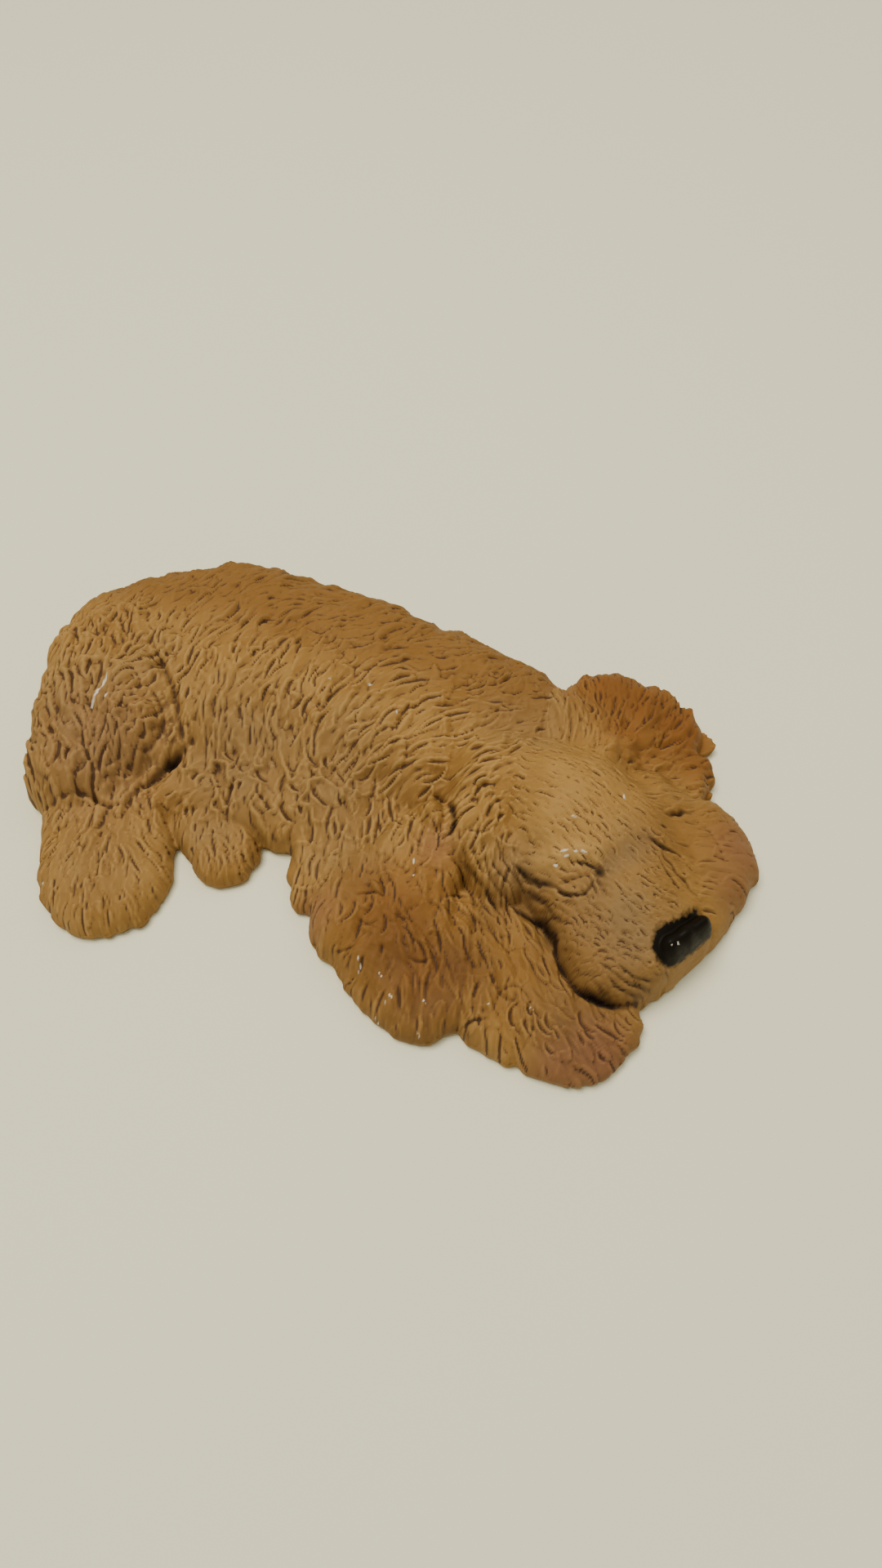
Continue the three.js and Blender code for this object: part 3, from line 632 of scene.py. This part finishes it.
def along_arc(du, dv, angle, curl):
    """Distance along an arc that starts at the angle and turns by curl for each unit, and distance off it."""
    x = du * math.cos(angle) + dv * math.sin(angle)
    y = dv * math.cos(angle) - du * math.sin(angle)
    if abs(curl) < STRAIGHT:
        return x, y
    radius = 1 / curl
    off = radius - np.sign(radius) * np.hypot(x, y - radius)
    return np.arctan2(x * np.sign(radius), np.sign(radius) * (radius - y)) * abs(radius), off


# A lock's section: how much its sides drop, the share of its half width over which it ends, and how bluntly.
LOCK_DROP, LOCK_SIDE, LOCK_BLUNT = 0.3, 0.3, 0.7
LOCK_ROOT, LOCK_RISE, LOCK_BASE = 0.3, 0.7, 0.4  # lift at the root, added to the tip, and by chance all over
LOCK_WAVER = 0.35  # how far its strands waver, in strands
LOCK_GROOVE = 0.20  # depth of the grooves between its strands, as a share of the lift
LOCK_TAPER, TIP_TAPER = 0.3, 0.5
LOCK_BEND, LOCK_TURN, LOCK_SWAY = 0.7, 0.5, 0.5  # shares of the bend beside it, and of its own turn and sway
LOCK_REACH = 1.2


def lay_lock(height, inside, room, root, way, size, strands, key, taper=LOCK_TAPER):
    """Lays one lock over the grid, as high as the room there lets it. Way is the angle it starts at and its
    turn for each unit of length, and size its length, half width, rise and groove depth."""
    long, wide, rise, deep = size
    here = window_round(*root, LOCK_REACH * long)
    s, t = along_arc(U[here] - root[0], V[here] - root[1], *way)
    s = s / long
    oval = np.sqrt(np.clip(1 - ((s - 0.5) / 0.5) ** 2, 0, 1))
    half = wide * oval * (1 + 0.5 * taper - taper * s)
    x = t / np.maximum(half, 1 / FAR)
    on = (np.abs(x) < 1) & (half > 0)
    crown = (1 - LOCK_DROP * x * x) * np.clip((1 - np.abs(x)) / LOCK_SIDE, 0, 1) ** LOCK_BLUNT
    turns = s * varied(key, "lock waver") + varied(key, "lock phase")
    waver = LOCK_WAVER * np.sin(2 * math.pi * turns)
    strand = (0.5 - 0.5 * np.cos(math.pi * strands * (x + 1) + waver * strands)) ** 2
    lock = rise * (LOCK_ROOT + LOCK_RISE * np.clip(s, 0, 1)) * crown
    lock = lock + rise * LOCK_BASE * varied(key, "lock base") - deep * strand
    np.maximum(height[here], np.where(on, lock * room[here], 0), out=height[here])
    np.maximum(inside[here], np.where(on, half - np.abs(t), -FAR), out=inside[here])


def lay_locks():
    """Lays every lock of hair over the grid. Returns the fur's height, how far inside a lock each point is,
    and how far inside a tuft that stands out past the outline."""
    height = np.zeros(U.shape)
    inside, inside_tips = np.full(U.shape, -FAR), np.full(U.shape, -FAR)
    for key, (name, (length, half_width, lift, sway, curl, strands, cover)) in enumerate(LOCKS.items()):
        patch = length * 2 * half_width * MM ** 2 / cover
        for i, u, v, comb, bend in zip(*scatter(name, patch, key, sway)):
            long = length * MM * varied(i, "lock length")
            wide = half_width * MM * varied(i, "lock width")
            rise = lift * MM * varied(i, "lock lift")
            turn = 2 * math.pi * curl * (LOCK_BEND * bend + LOCK_TURN * varied(i, "lock turn")) / long
            angle = math.radians(comb + LOCK_SWAY * sway * varied(i, "lock way")) - 0.5 * turn * long
            size = (long, wide, rise, LOCK_GROOVE * lift * MM)
            lay_lock(height, inside, room_for(name), (u, v), (angle, turn), size, strands, i)
    long, wide, rise = (size * MM for size in TIP)
    for i, (u, v, degrees) in enumerate(in_shares(TIPS, 2)):
        angle = math.radians(degrees)
        root = (u - long * math.cos(angle), v - long * math.sin(angle))
        size = (long, wide, rise, LOCK_GROOVE * rise)
        lay_lock(height, inside_tips, OFF_SKIN, root, (angle, 0), size, 2, i, taper=TIP_TAPER)
    return height, inside, inside_tips


CUT_BEND, CUT_TURN = 0.28, 0.16  # in turns for each length: by the bend of the hair there, and by chance
CUT_LEAST, CUT_BLUNT = 0.25, 0.7  # the shallowest cut as a share of the depth, and how blunt its ends are
LIP_SHARE, LIP_OUT, LIP_WIDE = 0.45, 2.2, 1.3  # a lip's height, place and width, by the cut's own
LIP_CLEAR = 0.1 * MM  # a cut this deep wipes out the lip of another


def lay_cuts():
    """Curved cuts with a raised lip on their outer side. Returns how deep they lie, below 0 on the lips."""
    depth, lips = np.zeros(U.shape), np.zeros(U.shape)
    for key, (name, (patch, length, half_width, deep, spread)) in enumerate(CUTS.items()):
        sway = LOCKS[name][3]
        for i, u, v, comb, bend in zip(*scatter(name, patch * MM ** 2, CUT_KEYS + key, sway)):
            long = length * MM * varied(i, "cut length")
            angle = math.radians(comb + spread * varied(i, "cut way"))
            turn = 2 * math.pi * (CUT_BEND * bend + CUT_TURN * varied(i, "cut turn")) / long
            here = window_round(u, v, long)
            s, t = along_arc(U[here] - u, V[here] - v, angle, turn)
            taper = np.clip(1 - (2 * s / long) ** 2, 0, 1)
            wide = half_width * MM * (0.5 + 0.5 * taper) * varied(i, "cut width")
            size = deep * MM * (CUT_LEAST + varied(i, "cut depth") ** 2) * taper ** CUT_BLUNT
            size = size * room_for(name)[here]
            np.maximum(depth[here], size * np.exp(-(t / wide) ** 2), out=depth[here])
            outer = -np.sign(turn) * t / wide
            lip = LIP_SHARE * size * np.exp(-((outer - LIP_OUT) / LIP_WIDE) ** 2)
            np.maximum(lips[here], lip, out=lips[here])
    return depth - lips * np.clip(1 - depth / LIP_CLEAR, 0, 1)


NOSE_SWAY = 12  # in degrees, for the one form without locks
# Width and length of the strands, how wide and how sharp a groove is, how the grooves fade in and out along
# them, and the width of the waves.
STRAND_WIDE, STRAND_LONG, GROOVE_WIDE, GROOVE_SHARP = 0.80 * MM, 2.8 * MM, 0.75, 0.6
FADE_WIDE, FADE_LONG, FADE_SHARE, FADE_GAIN, FADE_LEAST = 2.2 * MM, 1.5 * MM, 0.55, 1.1, 0.1
WAVE_WIDE = 1.1 * MM


def lay_strands():
    """Strands with sharp grooves between them, 0 on a strand and 1 in a groove, and the waves under them."""
    sway = np.array([LOCKS[name][3] if name in LOCKS else NOSE_SWAY for name in NAMES])[OWNER]
    angle = np.radians(COMB + sway * swaying(U, V))
    smear = drawn_out(hills(U, V, STRAND_WIDE, STRAND_KEY), angle, STRAND_LONG)
    smear /= smear.std()
    fade = FADE_SHARE + FADE_GAIN * drawn_out(hills(U, V, FADE_WIDE, FADE_KEY), angle, FADE_LONG)
    groove = 1 - np.clip(np.abs(smear) / GROOVE_WIDE, 0, 1) ** GROOVE_SHARP
    waves = drawn_out(hills(U, V, WAVE_WIDE, WAVE_KEY, octaves=1), angle, STRAND_LONG)
    return np.clip(fade, FADE_LEAST, 1) * groove, waves / waves.std()


# Size, width and sharpness of the crumpled ridges, and how far and how tightly they are bent about.
CRUMPLE_SCALE, CRUMPLE_WIDE, CRUMPLE_SHARP = 3.0 * MM, 0.40, 1.4
CRUMPLE_SHIFT, CRUMPLE_SHIFT_SCALE = 1.3 * MM, 2.6 * MM


def crumpled():
    """Short crumpled ridges, as of matted hair: 1 on a crest."""
    across = CRUMPLE_SHIFT * hills(U, V, CRUMPLE_SHIFT_SCALE, ACROSS_KEY)
    along = CRUMPLE_SHIFT * hills(U, V, CRUMPLE_SHIFT_SCALE, ALONG_KEY)
    crumple = hills(U + across, V + along, CRUMPLE_SCALE, CRUMPLE_KEY)
    return (1 - np.clip(np.abs(crumple) / CRUMPLE_WIDE, 0, 1)) ** CRUMPLE_SHARP


# Near the outline, where the forms are low, the details grow in with the rise.
RIM_GAIN, CREASE_GAIN, CUT_AT_RIM = 4, 3, 0.3
OFF_RIM = np.clip(RIM_GAIN * RISE, 0, 1)
CREASE_OFF_RIM = np.clip(CREASE_GAIN * RISE, 0, 1)
CUT_OFF_RIM = np.clip(RIM_GAIN * RISE, CUT_AT_RIM, 1)
STRANDS_BLUR = 0.8 * MM  # the forms' strands fade into each other over this
SWELL, SWELL_SCALE = 0.4 * MM, 0.040  # slow swells under the fur


def by_form(k):
    """One of the sizes in STRANDS over the grid."""
    sizes = np.array([STRANDS[name][k] for name in NAMES])[OWNER] * (OWNER >= 0)
    return MM * blurred(sizes, STRANDS_BLUR) * FLATTER


fur, lock_inside, tip_inside = lay_locks()
cuts = lay_cuts()
grooves, waves = lay_strands()
strands = by_form(0) * grooves
fur = fur + by_form(2) * crumpled() + by_form(1) * (0.5 + 0.5 * np.clip(waves, -1, 2)) * OFF_RIM
creases, ridges, crease_lines_of_wash_and_shadow = np.zeros(U.shape), np.zeros(U.shape), np.zeros(U.shape)
for width, depth, paint, points in CREASES.values():
    line = stroke(width, points)
    creases = np.maximum(creases, depth * MM * line)
    crease_lines_of_wash_and_shadow = np.maximum(crease_lines_of_wash_and_shadow, paint * line)
for width, height, points in RIDGES.values():
    ridges = np.maximum(ridges, height * MM * stroke(width, points))
inside = np.maximum(INSIDE, np.minimum(lock_inside, INSIDE + REACH))
inside = np.maximum(inside, np.minimum(tip_inside, INSIDE + TIP_REACH))
for u, v, radius in in_shares(NOTCHES, 2):
    inside = np.minimum(inside, np.hypot(U - u, V - v) - radius * MM)
swell = SWELL * hills(U, V, SWELL_SCALE, SWELL_KEY) * (1 - SKIN)
bare = DEPTH * RISE + (swell + ridges) * OFF_RIM - creases * CREASE_OFF_RIM
HEIGHT = EDGE + np.maximum(0, bare) + fur - (cuts + strands) * CUT_OFF_RIM


def filled_cells():
    """The grid's cells inside the outline, with no two that touch at a corner only."""
    filled = (inside[:-1, :-1] + inside[1:, :-1] + inside[:-1, 1:] + inside[1:, 1:]) > 0
    filled[[0, -1]] = False
    filled[:, [0, -1]] = False
    for _ in range(3):
        a, b, c, d = filled[:-1, :-1], filled[:-1, 1:], filled[1:, 1:], filled[1:, :-1]
        rising, falling = a & c & ~b & ~d, b & d & ~a & ~c
        filled[:-1, 1:] |= rising
        filled[:-1, :-1] |= falling
    return filled


def outline_of(filled, number):
    """The numbers of the grid points round the filled cells, in order. The longest loop is the outline."""
    start = {}
    for r, c in np.argwhere(filled):
        corners = number[r, c], number[r, c + 1], number[r + 1, c + 1], number[r + 1, c]
        beyond = filled[r - 1, c], filled[r, c + 1], filled[r + 1, c], filled[r, c - 1]
        for k in range(4):
            if not beyond[k]:
                start[corners[k]] = corners[(k + 1) % 4]
    loops = []
    while start:
        first = next(iter(start))
        loop = [first]
        while start[loop[-1]] != first:
            loop.append(start.pop(loop[-1]))
        start.pop(loop[-1])
        loops.append(loop)
    return np.array(max(loops, key=len))


STEEP_LEAST = 0.25  # the least squared slope that a point of the outline is moved by
MOVE_MOST = 0.45 * FINE
WALL_RINGS = ((0.55, 0.0), (0.0, 0.15))  # share of the wall's height, and how far tucked in, in mm
UNDER_MIDDLE = 0.5  # how far down the wall the upper ring counts as being


def settled_outline(outline):
    """The plan of the grid with the outline's points moved onto the true edge and evened out, and the way
    inward at each of them."""
    pu, pv = U.ravel().copy(), V.ravel().copy()
    slope_v, slope_u = (slope.ravel()[outline] for slope in np.gradient(inside, VS, US))
    steep = np.maximum(slope_u ** 2 + slope_v ** 2, STEEP_LEAST)
    off = -inside.ravel()[outline]
    pu[outline] += np.clip(off * slope_u / steep, -MOVE_MOST, MOVE_MOST)
    pv[outline] += np.clip(off * slope_v / steep, -MOVE_MOST, MOVE_MOST)
    for values in (pu, pv):
        ring = values[outline]
        values[outline] = (np.roll(ring, 1) + 2 * ring + np.roll(ring, -1)) / 4
    inward = np.stack([slope_u, slope_v], 1)
    inward /= np.linalg.norm(inward, axis=1, keepdims=True) + 1 / FAR
    return pu, pv, inward


def traced_body():
    """The closed mesh: relief on top, wall round the outline, flat back. Returns the object and, for each
    vertex, the grid point it comes from and how far down the wall it is, from 0 to 1."""
    number = np.arange(U.size).reshape(U.shape)
    filled = filled_cells()
    outline = outline_of(filled, number)
    pu, pv, inward = settled_outline(outline)
    pz = HEIGHT.ravel().copy()
    pz[outline] = EDGE + fur.ravel()[outline]
    r, c = np.nonzero(filled)
    quads = np.stack([number[r, c], number[r, c + 1], number[r + 1, c + 1], number[r + 1, c]], 1)
    used = np.unique(quads)
    place = np.full(U.size, -1)
    place[used] = np.arange(len(used))
    points = np.stack([pu[used], pv[used], pz[used]], 1)
    origin = list(used)
    rings = [place[outline]]
    for share, tuck in WALL_RINGS:
        ring = np.stack([pu[outline], pv[outline], share * pz[outline]], 1)
        ring[:, :2] += tuck * MM * inward
        rings.append(np.arange(len(points), len(points) + len(ring)))
        points = np.vstack([points, ring])
        origin += list(outline)
    faces = [tuple(q) for q in place[quads].tolist()]
    for upper, lower in zip(rings, rings[1:]):
        for i in range(len(upper)):
            j = (i + 1) % len(upper)
            faces.append((lower[i], lower[j], upper[j], upper[i]))
    back = [Vector((points[i][0], points[i][1], 0)) for i in rings[-1]]
    for a, b, c in tessellate_polygon([back]):
        i, j, k = rings[-1][a], rings[-1][b], rings[-1][c]
        turn = np.cross(points[j][:2] - points[i][:2], points[k][:2] - points[i][:2])
        faces.append((i, k, j) if turn > 0 else (i, j, k))
    centre = (LOW + HIGH) / 2
    world = points * LENGTH
    world[:, 0] += centre.x - MIDDLE[0] * LENGTH
    world[:, 1] += centre.y - MIDDLE[1] * LENGTH
    world[:, 2] += LOW.z
    mesh = bpy.data.meshes.new("painted_dog")
    mesh.from_pydata(world.tolist(), [], [tuple(int(i) for i in f) for f in faces])
    mesh.update()
    body = bpy.data.objects.new("painted_dog", mesh)
    bpy.context.scene.collection.objects.link(body)
    under = np.zeros(len(points))
    under[rings[1]] = UNDER_MIDDLE
    under[rings[2]] = 1
    return body, np.array(origin), under


FLAT_BACK = -0.9  # faces whose normals point further down than this are the back
body, grid_point, under = traced_body()
mesh = body.data
for polygon in mesh.polygons:
    polygon.use_smooth = polygon.normal.z > FLAT_BACK


def store(name, values):
    """Keeps one number for each vertex, for the material to read."""
    layer = mesh.attributes.new(name, "FLOAT", "POINT")
    layer.data.foreach_set("value", np.asarray(values, np.float32))


GROOVE_BLUR, HOLLOW_BLUR, HOLLOW_RIM = 0.55 * MM, 3.0 * MM, 2 * MM
KEPT_BELOW = ("rusty", "pinkish")  # the tints that run on down the wall
carved = fur - cuts - creases - strands
groove = blurred(carved, GROOVE_BLUR) - carved
# Painted shade in the hollows: how far the surface lies below its blurred self, away from the outline.
hollow_shade = (blurred(HEIGHT, HOLLOW_BLUR) - HEIGHT) * np.clip(INSIDE / HOLLOW_RIM, 0, 1)
chips_and_glints = np.zeros(U.shape)
for width, points in CHIPS_AND_GLINTS:
    chips_and_glints = np.maximum(chips_and_glints, stroke(width, points))
# Painted shade: the hollows, the back's band, the darkened patches and the creases' lines. Painted
# highlights: glints, brow.
for name, values in {
        "groove": groove / MM, "hollow_shade": hollow_shade / MM, "crease_wash_and_shadow": crease_lines_of_wash_and_shadow, "chip_and_glint": chips_and_glints,
        "nose_paint": NOSE_INSIDE / MM, "rusty": patches(RUSTY), "pinkish": patches(PINKISH),
        "dull_and_shaded": patches(DULL_AND_SHADED), "deep": np.maximum(BACK, patches(SHADED)), "painted_highlight": patches(PAINTED_HIGHLIGHTS),
        "orange": patches(ORANGE), "shade_and_wash": patches(SHADE_AND_WASH)}.items():
    values = values.ravel()[grid_point]
    store(name, values if name in KEPT_BELOW else np.where(under > 0, 0, values))
store("under", under)


class Nodes:
    """Builds one material's node tree."""

    def __init__(self, name):
        self.material = bpy.data.materials.new(name)
        self.material.use_nodes = True
        self.tree = self.material.node_tree
        self.tree.nodes.clear()
        self.output = self.tree.nodes.new("ShaderNodeOutputMaterial")
        self.shader = self.tree.nodes.new("ShaderNodeBsdfPrincipled")
        self.tree.links.new(self.shader.outputs[0], self.output.inputs["Surface"])

    def add(self, kind, inputs=None, **settings):
        node = self.tree.nodes.new("ShaderNode" + kind)
        for key, value in settings.items():
            setattr(node, key, value)
        for key, value in (inputs or {}).items():
            self.set(node.inputs[key], value)
        return node

    def set(self, socket, value):
        if isinstance(value, bpy.types.NodeSocket):
            self.tree.links.new(value, socket)
        else:
            socket.default_value = value

    def attribute(self, name):
        return self.add("Attribute", attribute_name=name).outputs["Fac"]

    def math(self, operation, a, b=0.0):
        return self.add("Math", {0: a, 1: b}, operation=operation).outputs[0]

    def times(self, a, b):
        return self.math("MULTIPLY", a, b)

    def span(self, value, low, high, to_low=0.0, to_high=1.0):
        return self.add("MapRange", {"Value": value, "From Min": low, "From Max": high, "To Min": to_low,
                                     "To Max": to_high}).outputs["Result"]

    def mix(self, share, a, b):
        node = self.add("Mix", data_type="RGBA")
        for socket, value in zip([node.inputs[0], node.inputs[6], node.inputs[7]], (share, a, b)):
            self.set(socket, value)
        return node.outputs[2]

    def noise(self, vector, scale, detail):
        return self.add("TexNoise", {"Vector": vector, "Scale": scale, "Detail": detail}).outputs["Fac"]


OCHRE = (0.282, 0.144, 0.036, 1)
PALE_OCHRE = (0.358, 0.195, 0.055, 1)
LIT_OCHRE = (0.450, 0.264, 0.086, 1)
SHADED_OCHRE = (0.220, 0.104, 0.027, 1)
RED_OCHRE = (0.290, 0.104, 0.020, 1)
RUST = (0.113, 0.046, 0.012, 1)
PINK = (0.262, 0.114, 0.060, 1)
DULL_AND_SHADED_OCHRE = (0.222, 0.140, 0.064, 1)
WASH_AND_SHADE = (0.062, 0.032, 0.022, 1)
CREASE_WASH_AND_SHADOW_BLACK = (0.010, 0.006, 0.005, 1)
BLACK = (0.007, 0.005, 0.003, 1)
RESIN_AND_GLINT = (0.66, 0.60, 0.50, 1)
PATCHY_SCALE, SPECK_SCALE = 160, 1400  # in spots for each metre, about 6 mm and 0.7 mm wide
TINT_SHADE_AND_HIGHLIGHT, CREST_HIGHLIGHT, HOLLOW_SHADE, WASH_AND_SHADE_COVER = 0.8, 0.7, 0.38, 0.85
ROUGHNESS_SPAN, NOSE_GLOSS = (0.50, 0.72), 0.80  # and the share of it on the nose
SPECULAR = 0.08
GRAIN_STRENGTH, GRAIN_DEPTH = 0.25, 0.00012

# What each map has to reach, from none to full. Those of grooves, hollows and the nose's edge are in mm.
PATCHY_SPAN, NOISE_SPAN = (0.35, 0.65), (0.3, 0.7)
CREST_SPAN, WASH_SPAN, SHADE_AND_WASH_SPAN, HOLLOW_SPAN = (-0.02, -0.14), (0.04, 0.19), (-0.12, 0.10), (0.3, 1.8)
CREASE_WASH_AND_SHADOW_SPAN, CHIP_AND_GLINT_SPAN, FOOT_SPAN = (0.25, 1.0), (0.25, 0.6), (0.6, 1.0)
NOSE_SPAN, NOSE_FRAY = (-0.45, 0.20), (-0.25, 0.25)
DULL_AND_SHADED_COVER, ORANGE_COVER, RUSTY_COVER = (0.5, 0.9), (0.5, 0.9), (0.6, 0.95)


def painted_resin():
    """Ochre in patches, tinted here and there, washed dark in the grooves, with painted shade in the hollows,
    creases and deep places and painted highlights on the brow and crests. The nose is black. Chipped spots
    and the back show the resin's own colour, and the glints are painted highlights in it."""
    n = Nodes("painted_resin")
    place = n.add("TexCoord").outputs["Object"]
    groove, hollow_shade = n.attribute("groove"), n.attribute("hollow_shade")
    patchy = n.noise(place, PATCHY_SCALE, 3.0)
    specks = n.noise(place, SPECK_SCALE, 2.0)

    def uneven(name, cover):
        return n.times(n.attribute(name), n.span(patchy, *NOISE_SPAN, *cover))

    tan = n.mix(n.span(patchy, *PATCHY_SPAN), OCHRE, PALE_OCHRE)
    # Lighter on the crests: dry-brushed paint, and partly a painted highlight.
    tan = n.mix(n.times(n.span(groove, *CREST_SPAN), CREST_HIGHLIGHT), tan, LIT_OCHRE)
    # Duller, greyer paint, and partly painted shade.
    tan = n.mix(uneven("dull_and_shaded", DULL_AND_SHADED_COVER), tan, DULL_AND_SHADED_OCHRE)
    # Painted shade: darker along the back's band and in patches.
    tan = n.mix(n.times(n.attribute("deep"), TINT_SHADE_AND_HIGHLIGHT), tan, SHADED_OCHRE)
    tan = n.mix(uneven("orange", ORANGE_COVER), tan, RED_OCHRE)
    tan = n.mix(uneven("rusty", RUSTY_COVER), tan, RUST)
    tan = n.mix(n.times(n.attribute("pinkish"), TINT_SHADE_AND_HIGHLIGHT), tan, PINK)
    # Painted highlights on the brow and the forehead, in the lit ochre.
    tan = n.mix(n.times(n.attribute("painted_highlight"), TINT_SHADE_AND_HIGHLIGHT), tan, LIT_OCHRE)
    # Dark paint washed into the grooves, and painted shade in the hollows.
    wash_and_hollow_shade = n.math("MAXIMUM", n.span(groove, *WASH_SPAN), n.times(n.span(hollow_shade, *HOLLOW_SPAN), HOLLOW_SHADE))
    # Painted shade, with dark paint washed in, in the grooves of the deep places.
    shade_and_wash = n.times(n.attribute("shade_and_wash"), n.span(groove, *SHADE_AND_WASH_SPAN))
    colour = n.mix(n.times(n.math("MAXIMUM", wash_and_hollow_shade, shade_and_wash), WASH_AND_SHADE_COVER), tan, WASH_AND_SHADE)
    # The creases' lines: dark paint washed in, and painted shadow, darkest under the haunch and along the
    # jaw.
    colour = n.mix(n.span(n.attribute("crease_wash_and_shadow"), *CREASE_WASH_AND_SHADOW_SPAN), colour, CREASE_WASH_AND_SHADOW_BLACK)
    nose_edge = n.math("ADD", n.attribute("nose_paint"), n.span(specks, *NOISE_SPAN, *NOSE_FRAY))
    nose = n.span(nose_edge, *NOSE_SPAN)
    colour = n.mix(nose, colour, BLACK)
    # Chipped spots show the resin's own colour; the glints are painted highlights in that colour.
    colour = n.mix(n.span(n.attribute("chip_and_glint"), *CHIP_AND_GLINT_SPAN), colour, RESIN_AND_GLINT)
    colour = n.mix(n.span(n.attribute("under"), *FOOT_SPAN), colour, RESIN_AND_GLINT)
    n.set(n.shader.inputs["Base Color"], colour)
    rough = n.times(n.span(specks, *NOISE_SPAN, *ROUGHNESS_SPAN), n.span(nose, 0, 1, 1, NOSE_GLOSS))
    n.set(n.shader.inputs["Roughness"], rough)
    n.set(n.shader.inputs["Specular IOR Level"], SPECULAR)
    grain = n.add("Bump", {"Height": specks, "Strength": GRAIN_STRENGTH, "Distance": GRAIN_DEPTH})
    n.set(n.shader.inputs["Normal"], grain.outputs[0])
    return n.material


body.data.materials.append(painted_resin())
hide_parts("dog")
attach(body, "root")

# Floor, lights and camera. Their sizes and distances are in lengths of the puppy.
FLOOR_SIZE = 12
FLOOR_COLOUR, FLOOR_ROUGHNESS = (0.93, 0.905, 0.69, 1), 0.85
LIGHT_COLOUR = (1, 0.96, 0.82)
LIGHT_DISTANCE = 6.0
WORLD_COLOUR, WORLD_STRENGTH = (1, 0.97, 0.85, 1), 0.35
CAMERA_SLANT = 61.81  # degrees below the horizontal
CAMERA_FOOT = (0.0677, -0.7470)  # the plan's point below the camera
CAMERA_HEIGHT = 1.5204
FILM_HEIGHT, LENS = 36, 28.125  # in mm
CLIP_START = 0.005  # in metres


def plain_floor():
    bpy.ops.mesh.primitive_plane_add(size=FLOOR_SIZE * LENGTH, location=(0, 0, LOW.z))
    floor = bpy.context.object
    floor.name = "floor"
    n = Nodes("pale_floor")
    n.set(n.shader.inputs["Base Color"], FLOOR_COLOUR)
    n.set(n.shader.inputs["Roughness"], FLOOR_ROUGHNESS)
    floor.data.materials.append(n.material)


def soft_light(name, direction, size, power):
    light = bpy.data.lights.new(name, "AREA")
    light.size = size * LENGTH
    light.energy = power
    light.color = LIGHT_COLOUR
    lamp = bpy.data.objects.new(name, light)
    lamp.location = Vector(direction).normalized() * LIGHT_DISTANCE * LENGTH
    lamp.rotation_euler = Vector(direction).to_track_quat("Z", "Y").to_euler()
    bpy.context.scene.collection.objects.link(lamp)


def studio():
    soft_light("window", (-0.20, 0.02, 1.0), 2.4, 2.7)
    soft_light("ceiling", (0.3, 0.3, 1.0), 5.0, 0.8)
    world = bpy.data.worlds.new("studio")
    world.use_nodes = True
    world.node_tree.nodes["Background"].inputs[0].default_value = WORLD_COLOUR
    world.node_tree.nodes["Background"].inputs[1].default_value = WORLD_STRENGTH
    bpy.context.scene.world = world


def photo_camera():
    """Looks down at the photograph's slant, from the puppy's paw side."""
    foot = Vector((CAMERA_FOOT[0] - MIDDLE[0], CAMERA_FOOT[1] - MIDDLE[1], 0)) * LENGTH
    camera = bpy.data.objects.new("camera", bpy.data.cameras.new("camera"))
    camera.data.sensor_fit = "VERTICAL"
    camera.data.sensor_height = FILM_HEIGHT
    camera.data.lens = LENS
    camera.data.clip_start = CLIP_START
    camera.location = Vector((foot.x, foot.y, LOW.z + CAMERA_HEIGHT * LENGTH))
    camera.rotation_euler = (math.radians(90) - math.radians(CAMERA_SLANT), 0, 0)
    bpy.context.scene.collection.objects.link(camera)
    bpy.context.scene.camera = camera


plain_floor()
studio()
photo_camera()
